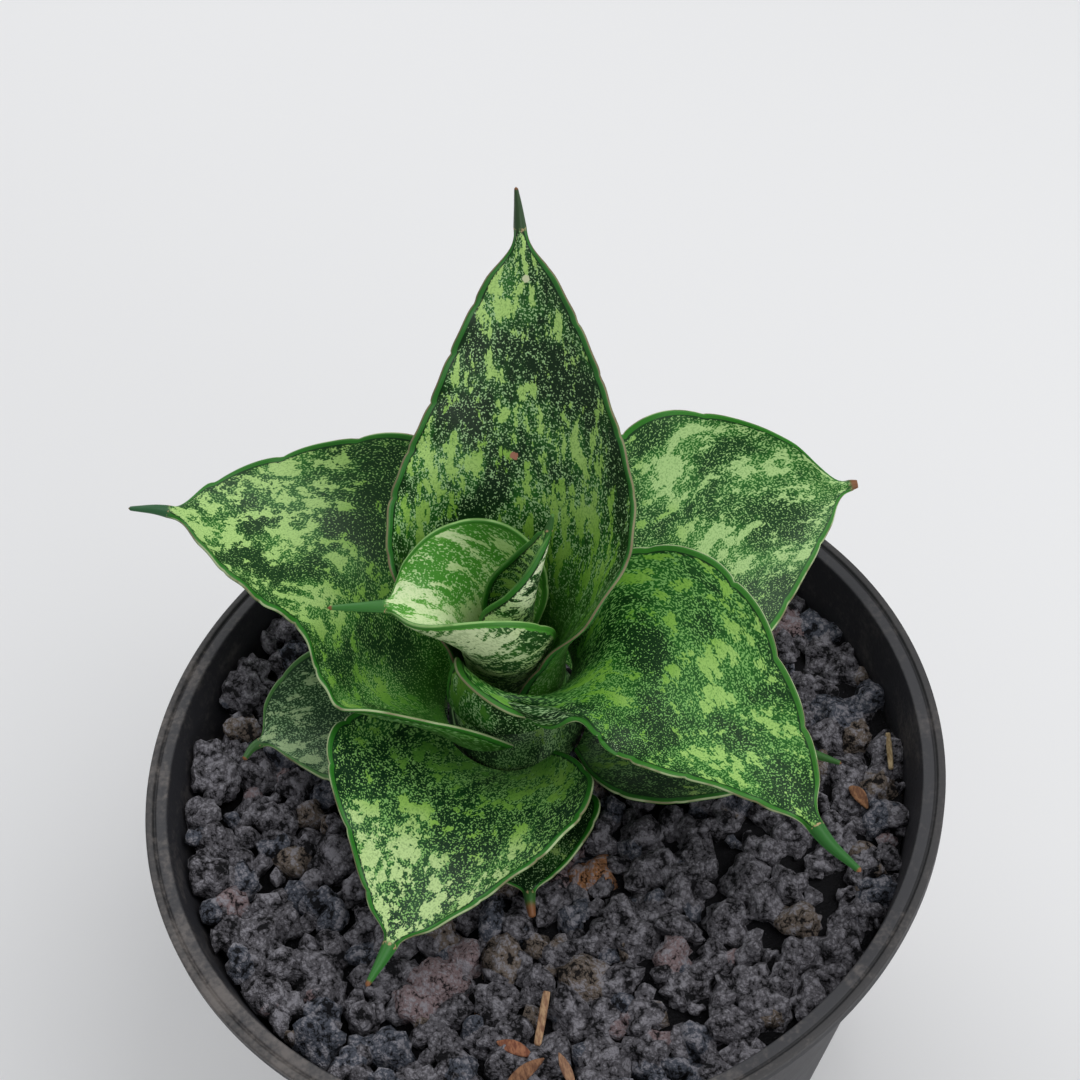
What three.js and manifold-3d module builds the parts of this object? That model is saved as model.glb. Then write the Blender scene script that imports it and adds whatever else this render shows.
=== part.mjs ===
// A small snake plant: a rosette of broad, cupped leaves with awl tips, in a round black nursery pot filled with
// black lava gravel. Millimetres, +Z up. The origin is the centre of the pot's base, and the front looks along -Y.
import * as THREE from "three";
import { mergeVertices } from "three/addons/utils/BufferGeometryUtils.js";
import Module from "manifold-3d";

const wasm = await Module();
wasm.setup();

// Driving dimensions
const POT = {
  rimRadius: 80,
  rimWidth: 4.4,
  rimThickness: 2,
  skirtDepth: 3.2,
  skirtWall: 1.5,
  height: 120,
  baseRadius: 55,
  wall: 1.8,
  floor: 2.6,
  heel: 1.5,
  padRadius: 20,
  recessRadius: 44,
  recess: 1.2,
  grooveRadius: 78.2,
  grooveHalf: 0.5,
  grooveDepth: 0.6,
  bead: 0.6,
  sides: 64,
};
const DRAIN = { count: 8, width: 9, reachIn: 9, reachUp: 6 };
const GRAVEL = {
  below: 10,
  gap: 0.4,
  rings: 24,
  grainSpacing: 8.6,
  grainRadius: 0.74,
  grainRise: 3.6,
  jitter: 0.3,
  slope: 0.02,
  seed: 11,
};
const STEM = {
  x: -3,
  y: 15,
  holeRadius: 9,
  gap: 0.3,
  sides: 24,
  steps: [
    [8, -24],
    [9, -20],
    [9, 0.4],
    [13.9, 2],
    [13.8, 6.5],
    [12.4, 8.8],
    [11.2, 13.4],
    [7.6, 14.4],
    [6.6, 17],
    [4.4, 18.6],
    [4.2, 23],
    [2.6, 28.5],
  ],
};
const SOIL_Z = POT.height - GRAVEL.below;

// Leaf sampling: stations along the blade and the awl, points across one face, and how the stations crowd at the foot
const BLADE_STEPS = 24;
const AWL_STEPS = 3;
const ACROSS = 7;
const FINE_STEPS = 8;
const FOOT_PACKING = 1.3;

// The margin's thickness, and how far along the blade its face starts to round off into the awl
const MARGIN_THICKNESS = 0.9;
const APEX_BLEND = 0.9;

// A collar's bend: the height it takes, the degrees over which it fades sideways, the distance from the stem at which
// it ends, and the share of the wall above it that is kept
const COLLAR_BEND = 5;
const COLLAR_FADE = 40;
const COLLAR_REACH = 44;
const COLLAR_SHARE = 0.8;

const DEG = Math.PI / 180;

// The leaves, from the spear in the middle to the oldest below. Each list of values is spaced evenly from the leaf's
// foot to its apex, in millimetres and degrees.
// azimuth: where the leaf leans, from +X. foot: the ring radius of its sheath and its height above the gravel.
// rise: the midrib's elevation, turn: its sideways turn, half: half-width, wrap: half-angle of the arc that the
// face bends round, shift: how far the blade's middle lies to the left of the midrib, tilt: the face's turn about
// the midrib, thickness: at the midrib, from foot to apex.
// awl: length, elevation and turn of the pointed tip, with its radius at the apex and at the end.
// collar: where the sheath's wall opens outward, as the ring radius and height of the bend, its angle, the azimuth at
// which it is widest, and how far it spreads to each side.
// lobes: number of shallow lobes along each margin and their depth.
const LEAVES = [
  {
    name: "leaf_01_spear",
    azimuth: 0,
    foot: [4.4, 29],
    length: 33,
    rise: [84, 82, 77, 72, 69],
    turn: [0, 0, 5, 10],
    half: [8, 11.5, 11, 7.5, 4.2, 0.9],
    wrap: [155, 150, 135, 100, 70, 60],
    shift: [0, -1, -1.5, -1, 0],
    tilt: [0, 0],
    thickness: [1.6, 1.2],
    awl: [4, 74, 10, 0.8, 0.3],
    lobes: [2, 0.2],
  },
  {
    name: "leaf_02_cup",
    azimuth: 178,
    foot: [6, 20.5],
    length: 34.5,
    rise: [88, 87, 80, 58, 29, 12],
    turn: [0, 0, 0],
    half: [15, 18.3, 24.3, 24.9, 15, 1.3],
    wrap: [156, 153, 144, 117, 78, 44],
    shift: [0, 0],
    tilt: [0, 0],
    thickness: [2, 1.6],
    awl: [11, 4, -6, 1.3, 0.4],
    lobes: [3, 0.4],
  },
  {
    name: "leaf_03_back",
    azimuth: 60,
    foot: [9, 15],
    length: 92,
    rise: [86, 70, 59, 61, 67, 71, 73],
    turn: [0, 0, 4, 9, 13, 17, 20],
    half: [27, 24.5, 32, 30, 25, 19.2, 14, 8, 1.2],
    wrap: [168, 128, 98, 66, 50, 41, 34, 28, 24],
    shift: [0, 0, 0, 1.2, 1.6, 1.2, 0],
    tilt: [0, 0],
    thickness: [2.4, 1.8],
    awl: [8.5, 84, 15, 1.1, 0.3],
    lobes: [9, 0.8],
  },
  {
    name: "leaf_04_right_front",
    azimuth: -20,
    foot: [12.9, 19.2],
    length: 72,
    rise: [88, 58, 14, 0, -5, -7, -8, -9, -9],
    turn: [0, -7, -15, -23, -31, -38, -43, -46, -48],
    half: [22, 20, 19.5, 22, 21, 17.5, 12.5, 7, 1.6],
    wrap: [98, 88.5, 44, 34, 30, 28, 27, 25, 24],
    shift: [-10, -11, 1.4, 2, 0, -2, -1, 0, 0],
    tilt: [0, 10, 14, 12, 8, 5, 2, 0, 0],
    thickness: [2.4, 1.8],
    awl: [11.5, -4, -36, 1.5, 0.5],
    collar: [12.8, 33.6, 74, -125, 88],
    lobes: [6, 0.8],
  },
  {
    name: "leaf_05_left",
    azimuth: 140,
    foot: [13.6, 10.8],
    length: 70,
    rise: [80, 30, 28, 32, 30, 28, 27],
    turn: [0, 0, 4, 10, 18, 26, 34],
    half: [25, 29.5, 30.5, 26, 21, 13, 1.4],
    wrap: [106, 74, 54, 44, 36, 30, 26],
    shift: [6, 6, -3, -8, -3, 0, 0],
    tilt: [-4, -14, -8, -2, 0, 0, 0],
    thickness: [2.4, 1.8],
    awl: [8, 16, 38, 1.3, 0.4],
    lobes: [7, 0.9],
  },
  {
    name: "leaf_06_right_back",
    azimuth: 22,
    foot: [14.3, 7.5],
    length: 70,
    rise: [40, 24, 16, 14, 14, 14, 12],
    turn: [0, 0, 0, -2, -6, -12, -20],
    half: [13, 21, 28, 29, 25, 15.5, 1.4],
    wrap: [50, 50, 44, 38, 34, 30, 26],
    shift: [0, 0, 3, 4, 6, 4, 0],
    tilt: [0, 5, 10, 12, 12],
    thickness: [2.4, 1.8],
    awl: [1.6, 10, -30, 1.2, 0.8],
    lobes: [5, 0.7],
  },
  {
    name: "leaf_07_left_front",
    azimuth: -118,
    foot: [14.3, 5.1],
    length: 49,
    rise: [40, 25, 15, 8, 4, 2, 0],
    turn: [0, 0, -2, -3, -4, -5, -5],
    half: [15, 27, 29, 24.5, 17, 10, 1.4],
    wrap: [60, 46, 42, 38, 32, 28, 24],
    shift: [0, -1.5, -2, -1.5, -0.5, 0, 0],
    tilt: [0, 0],
    thickness: [2.4, 1.8],
    awl: [9, 0, -8, 1.4, 0.4],
    lobes: [5, 0.8],
  },
  {
    name: "leaf_08_right_low",
    azimuth: -23,
    foot: [14.6, 3.4],
    length: 46,
    rise: [24, 14, 8, 4, 2, 0],
    turn: [0, 0, -1, -2, -3, -4],
    half: [7, 18, 22, 20, 14, 1.2],
    wrap: [28, 34, 32, 30, 26, 24],
    shift: [0, 0],
    tilt: [0, 0],
    thickness: [2.2, 1.6],
    awl: [8, 0, -12, 1.2, 0.4],
    lobes: [4, 0.5],
  },
  {
    name: "leaf_09_left_low",
    azimuth: 174,
    foot: [14.6, 3.2],
    length: 39.5,
    rise: [20, 14, 10, 6, 6, 4],
    turn: [0, 0, 0, 4, 14, 28],
    half: [7, 16, 20, 18, 13, 1.2],
    wrap: [28, 34, 32, 30, 26, 24],
    shift: [0, 0],
    tilt: [0, 0],
    thickness: [2.2, 1.6],
    awl: [5, 0, 60, 1.1, 0.5],
    lobes: [4, 0.5],
  },
  {
    name: "leaf_10_front_low",
    azimuth: -95,
    foot: [14.6, 2.2],
    length: 28,
    rise: [8, 9, 8, 6, 4, 2],
    turn: [0, 0],
    half: [6, 12, 16, 14, 9, 1.2],
    wrap: [8, 20, 30, 30, 26, 24],
    shift: [0, 0],
    tilt: [0, 0],
    thickness: [1.9, 1.5],
    awl: [5, -10, 4, 1.1, 0.6],
    lobes: [3, 0.5],
  },
];

// Dry bits that lie loose on the gravel: both ends in plan, the width, the thickness, how far the middle arches up,
// and how far the ends narrow.
const DEBRIS = [
  { name: "twig_front", from: [-6.6, -46.1], to: [-10.1, -56.3], width: 1.7, thick: 0.9, arch: 0, narrow: 0.1 },
  { name: "twig_right", from: [71, -2.5], to: [69.4, -11], width: 1.3, thick: 1.1, arch: 0.3, narrow: 0.1 },
  { name: "husk_front_1", from: [-17.6, -53.6], to: [-11.2, -57.8], width: 3, thick: 0.8, arch: 1, narrow: 0.9 },
  { name: "husk_front_2", from: [-9.2, -59], to: [-18.2, -64.5], width: 3.2, thick: 0.8, arch: 1.2, narrow: 0.9 },
  { name: "husk_front_3", from: [-6.4, -58.6], to: [-4.6, -66.4], width: 2.2, thick: 0.8, arch: 0.6, narrow: 0.9 },
  { name: "husk_right", from: [60.2, -13.4], to: [62.6, -18.6], width: 3, thick: 0.9, arch: 1.4, narrow: 0.8 },
];
const DEBRIS_STEPS = 6;
const DEBRIS_SIDES = 8;
const DEBRIS_GAP = 0.35;

// A seeded random number generator, so that every build is the same.
function makeRandom(seed) {
  let state = seed >>> 0;
  return () => {
    state = (state * 1664525 + 1013904223) >>> 0;
    return state / 4294967296;
  };
}

// The value at u of a smooth curve through keys that are spaced evenly from 0 to 1.
function along(keys, u) {
  const last = keys.length - 1;
  const place = Math.min(Math.max(u, 0), 1) * last;
  const i = Math.min(Math.floor(place), last - 1);
  const t = place - i;
  const b = keys[i];
  const c = keys[i + 1];
  const a = i > 0 ? keys[i - 1] : 2 * b - c;
  const d = i + 2 <= last ? keys[i + 2] : 2 * c - b;
  return b + 0.5 * t * (c - a + t * (2 * a - 5 * b + 4 * c - d + t * (3 * (b - c) + d - a)));
}

function smooth(x) {
  const t = Math.min(Math.max(x, 0), 1);
  return t * t * (3 - 2 * t);
}

// The directions along, across and out of the face, for an elevation, an azimuth and a tilt in degrees.
function axesAt(elevation, azimuth, tilt) {
  const e = elevation * DEG;
  const a = azimuth * DEG;
  const forward = new THREE.Vector3(Math.cos(e) * Math.cos(a), Math.cos(e) * Math.sin(a), Math.sin(e));
  const side = new THREE.Vector3(-Math.sin(a), Math.cos(a), 0);
  const face = new THREE.Vector3().crossVectors(forward, side);
  const c = Math.cos(tilt * DEG);
  const s = Math.sin(tilt * DEG);
  return {
    forward,
    side: side.clone().multiplyScalar(c).addScaledVector(face, s),
    face: face.clone().multiplyScalar(c).addScaledVector(side, -s),
  };
}

// A leaf's stations from foot to tip: the midrib's point and axes, with u along the blade and v along the awl.
function stationsOf(leaf) {
  const [ring, lift] = leaf.foot;
  const [awlLength, awlElevation, awlTurn] = leaf.awl;
  const bladeAxes = (u) =>
    axesAt(along(leaf.rise, u), leaf.azimuth + along(leaf.turn, u), along(leaf.tilt, u));
  const awlAxes = (v) => {
    const bent = smooth(v * 1.6);
    const elevation = along(leaf.rise, 1) * (1 - bent) + awlElevation * bent;
    const turn = along(leaf.turn, 1) * (1 - bent) + awlTurn * bent;
    return axesAt(elevation, leaf.azimuth + turn, along(leaf.tilt, 1));
  };
  const first = leaf.azimuth + leaf.turn[0];
  const point = new THREE.Vector3(
    STEM.x + ring * Math.cos(first * DEG),
    STEM.y + ring * Math.sin(first * DEG),
    SOIL_Z + lift,
  );
  const stations = [];
  const walk = (steps, length, axes, mark, packing) => {
    const at = (i) => (i / steps) ** packing;
    for (let i = 0; i < steps; i++) {
      stations.push({ ...mark(at(i)), point: point.clone(), ...axes(at(i)) });
      const step = (at(i + 1) - at(i)) / FINE_STEPS;
      for (let k = 0; k < FINE_STEPS; k++) {
        point.addScaledVector(axes(at(i) + (k + 0.5) * step).forward, length * step);
      }
    }
  };
  walk(BLADE_STEPS, leaf.length, bladeAxes, (u) => ({ u, v: 0 }), FOOT_PACKING);
  walk(AWL_STEPS, awlLength, awlAxes, (v) => ({ u: 1, v }), 1);
  stations.push({ u: 1, v: 1, point: point.clone(), ...awlAxes(1) });
  return stations;
}

// How far the margin stands in at u, for shallow lobes that meet in small notches.
function lobeDepth(leaf, u, side) {
  const [count, depth] = leaf.lobes;
  if (!count) return 0;
  const phase = count * u + (side > 0 ? 0.35 : 0.8);
  const within = phase - Math.floor(phase);
  return depth * (1 - Math.sqrt(Math.sin(Math.PI * within))) * smooth(u * 5) * smooth((1 - u) * 6);
}

// Bends the wall of a sheath outward above a ring round the stem, over one side of it, so that it lies as a collar.
function openOut(leaf, p) {
  if (!leaf.collar) return p;
  const [radius, height, opening, toward, spread] = leaf.collar;
  const rise = p.z - SOIL_Z - height;
  if (rise <= 0) return p;
  const dx = p.x - STEM.x;
  const dy = p.y - STEM.y;
  const out = Math.hypot(dx, dy);
  const away = Math.abs(((Math.atan2(dy, dx) / DEG - toward + 540) % 360) - 180);
  const sideways = smooth((spread - away) / COLLAR_FADE);
  const full = opening * DEG * sideways * smooth(2 - (2 * out) / COLLAR_REACH);
  if (full <= 1e-6) return p;
  const bent = Math.min(rise, COLLAR_BEND);
  const angle = (full * bent) / COLLAR_BEND;
  const bend = COLLAR_BEND / full;
  const offset = out - radius;
  const beyond = COLLAR_SHARE * (rise - bent);
  const reach = radius + bend * (1 - Math.cos(angle)) + beyond * Math.sin(full) + offset * Math.cos(angle);
  const up = bend * Math.sin(angle) + beyond * Math.cos(full) - offset * Math.sin(angle);
  return new THREE.Vector3(STEM.x + (dx / out) * reach, STEM.y + (dy / out) * reach, SOIL_Z + height + up);
}

// The closed loop of points round a leaf at one station: the upper face from margin to margin, then the lower.
function loopAt(leaf, station) {
  const { u, v, point, side, face } = station;
  const wrap = along(leaf.wrap, u) * DEG;
  const [atFoot, atApex] = leaf.thickness;
  const middle = atFoot + (atApex - atFoot) * u;
  const [, , , awlRadius, tipRadius] = leaf.awl;
  const radius = awlRadius + (tipRadius - awlRadius) * v;
  const round = v > 0 ? 1 : smooth((u - APEX_BLEND) / (1 - APEX_BLEND));
  const upper = [];
  const lower = [];
  for (let i = 0; i < ACROSS; i++) {
    const s = 1 - (2 * i) / (ACROSS - 1);
    const half = Math.max(along(leaf.half, u) - lobeDepth(leaf, u, s), awlRadius * 0.6);
    const arc = half / wrap;
    const bend = wrap * s + along(leaf.shift, u) / arc;
    const thickness = MARGIN_THICKNESS + (middle - MARGIN_THICKNESS) * (1 - s * s);
    const top = new THREE.Vector3()
      .addScaledVector(side, arc * Math.sin(bend))
      .addScaledVector(face, arc * (1 - Math.cos(bend)));
    const under = top
      .clone()
      .addScaledVector(side, Math.sin(bend) * thickness)
      .addScaledVector(face, -Math.cos(bend) * thickness);
    const turn = Math.PI * (0.5 - 0.46 * s);
    const onAwl = (sign) =>
      new THREE.Vector3()
        .addScaledVector(side, radius * Math.cos(turn))
        .addScaledVector(face, sign * radius * Math.sin(turn) - middle / 2);
    upper.push(openOut(leaf, top.lerp(onAwl(1), round).add(point)));
    lower.push(openOut(leaf, under.lerp(onAwl(-1), round).add(point)));
  }
  return [...upper, ...lower.reverse()];
}

// A closed mesh through loops of equal length, with a flat strip over the first and a point over the last.
function skinOf(loops) {
  const ring = loops[0].length;
  const points = loops.flat();
  const faces = [];
  for (let i = 0; i + 1 < loops.length; i++) {
    for (let k = 0; k < ring; k++) {
      const a = i * ring + k;
      const b = i * ring + ((k + 1) % ring);
      faces.push(a, b, a + ring, b, b + ring, a + ring);
    }
  }
  for (let k = 0; k + 1 < ring / 2; k++) {
    const back = ring - 1 - k;
    faces.push(k, back, k + 1, k + 1, back, back - 1);
  }
  const end = (loops.length - 1) * ring;
  const tip = new THREE.Vector3();
  loops[loops.length - 1].forEach((p) => tip.addScaledVector(p, 1 / ring));
  points.push(tip);
  for (let k = 0; k < ring; k++) faces.push(end + k, end + ((k + 1) % ring), points.length - 1);
  return geometryFrom(points, faces);
}

function geometryFrom(points, faces) {
  const geometry = new THREE.BufferGeometry().setFromPoints(points);
  geometry.setIndex(faces);
  return geometry;
}

function solidFrom(geometry) {
  const bare = geometry.index ? geometry.toNonIndexed() : geometry.clone();
  bare.deleteAttribute("normal");
  bare.deleteAttribute("uv");
  const merged = mergeVertices(bare, 1e-4);
  return new wasm.Manifold(
    new wasm.Mesh({
      numProp: 3,
      vertProperties: new Float32Array(merged.attributes.position.array),
      triVerts: new Uint32Array(merged.index.array),
    }),
  );
}

function geometryOf(solid) {
  const mesh = solid.getMesh();
  const geometry = new THREE.BufferGeometry();
  geometry.setAttribute("position", new THREE.BufferAttribute(new Float32Array(mesh.vertProperties), 3));
  geometry.setIndex(new THREE.BufferAttribute(new Uint32Array(mesh.triVerts), 1));
  return geometry;
}

function latheUpright(profile, sides) {
  const points = profile.map(([r, z]) => new THREE.Vector2(r, z));
  return new THREE.LatheGeometry(points, sides).rotateX(Math.PI / 2);
}

// The radius of the pot's inner wall at a height.
function innerRadius(z) {
  const top = POT.rimRadius - POT.rimWidth;
  return POT.baseRadius - POT.wall + ((top - POT.baseRadius + POT.wall) * z) / POT.height;
}

// A thin-walled tapered pot with a turned-down rim, a grooved lip and drain slots round its heel.
function pot() {
  const top = POT.height;
  const under = top - POT.rimThickness;
  const lip = POT.rimRadius;
  const ledge = top - POT.bead / 2;
  const profile = [
    [0, 0],
    [POT.padRadius, 0],
    [POT.padRadius + POT.recess, POT.recess],
    [POT.recessRadius, POT.recess],
    [POT.recessRadius + POT.recess, 0],
    [POT.baseRadius - POT.heel, 0],
    [POT.baseRadius, POT.heel],
    [innerRadius(under) + POT.wall, under],
    [lip - POT.skirtWall, under],
    [lip - POT.skirtWall, top - POT.skirtDepth],
    [lip, top - POT.skirtDepth],
    [lip, top - POT.bead],
    [lip - POT.bead, top],
    [POT.grooveRadius + POT.grooveHalf, top],
    [POT.grooveRadius, top - POT.grooveDepth],
    [POT.grooveRadius - POT.grooveHalf, ledge],
    [innerRadius(top) + POT.bead, ledge],
    [innerRadius(top), top - 2 * POT.bead],
    [innerRadius(POT.floor), POT.floor],
    [0, POT.floor],
  ];
  let solid = solidFrom(latheUpright(profile, POT.sides));
  for (let i = 0; i < DRAIN.count; i++) {
    const slot = new THREE.BoxGeometry(2 * DRAIN.reachIn, DRAIN.width, 2 * DRAIN.reachUp)
      .translate(POT.baseRadius + DRAIN.reachIn / 4, 0, 0)
      .rotateZ((2 * Math.PI * i) / DRAIN.count);
    solid = solid.subtract(solidFrom(slot));
  }
  return geometryOf(solid);
}

// Where the gravel's grains lie: a jittered triangular lattice of centres with a radius and a height each.
function scatterGrains() {
  const random = makeRandom(GRAVEL.seed);
  const step = GRAVEL.grainSpacing;
  const row = step * Math.sin(60 * DEG);
  const reach = innerRadius(SOIL_Z);
  const grains = [];
  for (let j = -Math.ceil(reach / row); j * row <= reach; j++) {
    for (let i = -Math.ceil(reach / step); i * step <= reach; i++) {
      const shift = () => (random() * 2 - 1) * GRAVEL.jitter * step;
      grains.push({
        x: (i + (j & 1) / 2) * step + shift(),
        y: j * row + shift(),
        radius: step * GRAVEL.grainRadius * (0.8 + 0.4 * random()),
        rise: GRAVEL.grainRise * (0.55 + 0.45 * random()),
      });
    }
  }
  return grains;
}

const GRAINS = scatterGrains();

// The gravel's top at a place, as the highest of the rounded grains there.
function gravelTop(x, y) {
  let best = 0;
  for (const g of GRAINS) {
    const share = ((x - g.x) ** 2 + (y - g.y) ** 2) / g.radius ** 2;
    if (share < 1) best = Math.max(best, g.rise * Math.sqrt(1 - share));
  }
  return SOIL_Z - GRAVEL.slope * x + best - GRAVEL.grainRise;
}

// One body of gravel that fills the pot, with its grains raised on top and a plain hole for the stem.
function gravel() {
  const points = [];
  const faces = [];
  const start = (ring) => (ring ? 1 + 3 * ring * (ring - 1) : 0);
  const top = innerRadius(SOIL_Z - GRAVEL.grainRise) - GRAVEL.gap;
  for (let ring = 0; ring <= GRAVEL.rings; ring++) {
    for (let k = 0; k < Math.max(6 * ring, 1); k++) {
      const angle = ring ? (k * Math.PI) / 3 / ring : 0;
      const r = (top * ring) / GRAVEL.rings;
      const x = r * Math.cos(angle);
      const y = r * Math.sin(angle);
      points.push(new THREE.Vector3(x, y, gravelTop(x, y)));
    }
  }
  for (let ring = 0; ring < GRAVEL.rings; ring++) {
    for (let sector = 0; sector < 6; sector++) {
      const inner = (k) => start(ring) + (ring ? (sector * ring + k) % (6 * ring) : 0);
      const outer = (k) => start(ring + 1) + ((sector * (ring + 1) + k) % (6 * (ring + 1)));
      for (let k = 0; k <= ring; k++) faces.push(inner(k), outer(k), outer(k + 1));
      for (let k = 0; k < ring; k++) faces.push(inner(k), outer(k + 1), inner(k + 1));
    }
  }
  const edge = start(GRAVEL.rings);
  const count = 6 * GRAVEL.rings;
  const low = POT.floor + GRAVEL.gap;
  const lowRadius = innerRadius(low) - GRAVEL.gap;
  const foot = points.length;
  for (let k = 0; k < count; k++) {
    const angle = (k * Math.PI) / 3 / GRAVEL.rings;
    points.push(new THREE.Vector3(lowRadius * Math.cos(angle), lowRadius * Math.sin(angle), low));
  }
  points.push(new THREE.Vector3(0, 0, low));
  for (let k = 0; k < count; k++) {
    const next = (k + 1) % count;
    faces.push(edge + k, foot + k, foot + next, edge + k, foot + next, edge + next);
    faces.push(foot + next, foot + k, points.length - 1);
  }
  const deep = STEM.gap - STEM.steps[0][1];
  const hole = new THREE.CylinderGeometry(
    STEM.holeRadius + STEM.gap,
    STEM.holeRadius + STEM.gap,
    2 * deep,
    STEM.sides,
  )
    .rotateX(Math.PI / 2)
    .translate(STEM.x, STEM.y, SOIL_Z);
  return geometryOf(solidFrom(geometryFrom(points, faces)).subtract(solidFrom(hole)));
}

// The height of the gravel's faceted top under a place.
function groundAt(ground, { x, y }) {
  const down = new THREE.Raycaster(new THREE.Vector3(x, y, 2 * POT.height), new THREE.Vector3(0, 0, -1));
  return down.intersectObject(ground)[0].point.z;
}

// A dry twig or husk, laid across the grains so that it just clears the highest of them under it.
function debris({ from, to, width, thick, arch, narrow }, ground) {
  const start = new THREE.Vector2(...from);
  const run = new THREE.Vector2(...to).sub(start);
  const side = new THREE.Vector2(-run.y, run.x).normalize();
  const half = (u) => (width / 2) * (1 - narrow * (2 * u - 1) ** 2);
  const at = (u, q) => start.clone().addScaledVector(run, u).addScaledVector(side, half(u) * q);
  const [low, high] = [0, 1].map((u) => groundAt(ground, at(u, 0)));
  const middle = (u) => low + (high - low) * u + arch * (1 - (2 * u - 1) ** 2);
  let lift = -thick;
  for (let i = 0; i <= 4 * DEBRIS_STEPS; i++) {
    const u = i / (4 * DEBRIS_STEPS);
    for (const q of [-1, -0.5, 0, 0.5, 1]) {
      const under = middle(u) - (thick / 2) * Math.sqrt(1 - q * q);
      lift = Math.max(lift, groundAt(ground, at(u, q)) - under);
    }
  }
  const loops = [];
  for (let i = 0; i <= DEBRIS_STEPS; i++) {
    const u = i / DEBRIS_STEPS;
    const loop = [];
    for (let k = 0; k < DEBRIS_SIDES; k++) {
      const turn = (2 * Math.PI * k) / DEBRIS_SIDES;
      const flat = at(u, Math.cos(turn));
      loop.push(new THREE.Vector3(flat.x, flat.y, middle(u) + lift + DEBRIS_GAP + (thick / 2) * Math.sin(turn)));
    }
    loops.push(loop);
  }
  return skinOf(loops);
}

// The short stem in its hole, stepped in by the foot of each leaf that it carries.
function stem() {
  const first = STEM.steps[0];
  const last = STEM.steps[STEM.steps.length - 1];
  const profile = [[0, first[1]], ...STEM.steps, [0, last[1]]];
  return latheUpright(profile, STEM.sides).translate(STEM.x, STEM.y, SOIL_Z);
}

const PLASTIC = new THREE.MeshStandardMaterial({ color: 0x35353a, roughness: 0.55, metalness: 0 });
const LAVA = new THREE.MeshStandardMaterial({ color: 0x3b3a42, roughness: 0.95, metalness: 0 });
const LEAF = new THREE.MeshStandardMaterial({ color: 0x2f6a2c, roughness: 0.4, metalness: 0 });
const DRY = new THREE.MeshStandardMaterial({ color: 0xa0643c, roughness: 0.8, metalness: 0 });
const STALK = new THREE.MeshStandardMaterial({ color: 0x35561f, roughness: 0.6, metalness: 0 });

function named(name, geometry, material) {
  const mesh = new THREE.Mesh(geometry, material);
  mesh.name = name;
  return mesh;
}

const plant = new THREE.Group();
plant.add(named("pot", pot(), PLASTIC));
const ground = named("gravel", gravel(), LAVA);
plant.add(ground);
plant.add(named("stem", stem(), STALK));
for (const leaf of LEAVES) {
  plant.add(named(leaf.name, skinOf(stationsOf(leaf).map((station) => loopAt(leaf, station))), LEAF));
}
for (const piece of DEBRIS) plant.add(named(piece.name, debris(piece, ground), DRY));

export default plant;
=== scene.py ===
"""A young snake plant in a round nursery pot of lava gravel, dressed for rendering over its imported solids.

Sizes in the tables are millimetres and angles are degrees, as a grower would note them. Meshes are in metres.
"""

from __future__ import annotations

import logging
import math
from collections.abc import Callable, Sequence
from dataclasses import dataclass
from enum import Enum
from functools import partial

import bmesh
import bpy
import numpy as np
from mathutils import Matrix, Vector


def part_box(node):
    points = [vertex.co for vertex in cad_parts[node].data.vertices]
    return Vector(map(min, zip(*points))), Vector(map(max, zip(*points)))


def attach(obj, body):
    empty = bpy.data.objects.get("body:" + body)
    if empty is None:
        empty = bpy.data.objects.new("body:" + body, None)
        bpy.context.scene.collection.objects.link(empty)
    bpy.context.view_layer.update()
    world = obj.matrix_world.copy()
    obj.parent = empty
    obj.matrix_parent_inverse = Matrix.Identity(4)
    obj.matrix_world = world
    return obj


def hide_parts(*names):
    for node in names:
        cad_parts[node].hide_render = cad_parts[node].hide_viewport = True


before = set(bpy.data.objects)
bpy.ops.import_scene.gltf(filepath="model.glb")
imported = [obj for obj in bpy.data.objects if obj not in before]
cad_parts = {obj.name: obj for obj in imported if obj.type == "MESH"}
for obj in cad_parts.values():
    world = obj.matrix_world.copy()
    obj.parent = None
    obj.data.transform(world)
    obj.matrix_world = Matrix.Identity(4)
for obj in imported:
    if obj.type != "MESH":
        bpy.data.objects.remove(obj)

Object, Material = bpy.types.Object, bpy.types.Material
Socket, Tree = bpy.types.NodeSocket, bpy.types.NodeTree
Triple = tuple[float, float, float]

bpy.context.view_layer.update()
MM = 0.001
BODY = "root"
log = logging.getLogger("snake_plant")

# Settings that many nodes share: a smooth step between two values, a mix of two colours, a sum of products
STEP = {"interpolation_type": "SMOOTHSTEP"}
MIX = {"data_type": "RGBA", "take": 2}
SUM = {"operation": "MULTIPLY_ADD"}


class Slot(Enum):
    """The record's material slots."""

    POT = "pot_plastic"
    GRAVEL = "lava_gravel"
    STALK = "stalk"
    LEAF = "leaf"
    HUSK = "dry_husk"


def linear(colour: str) -> tuple[float, float, float, float]:
    """Turns an sRGB hex colour into linear light.

    Args:
        colour: The colour as "#rrggbb".

    Returns:
        Red, green, blue and an alpha of 1.
    """
    parts = [int(colour[i : i + 2], 16) / 255 for i in (1, 3, 5)]
    return (*(p / 12.92 if p <= 0.04045 else ((p + 0.055) / 1.055) ** 2.4 for p in parts), 1.0)


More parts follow.
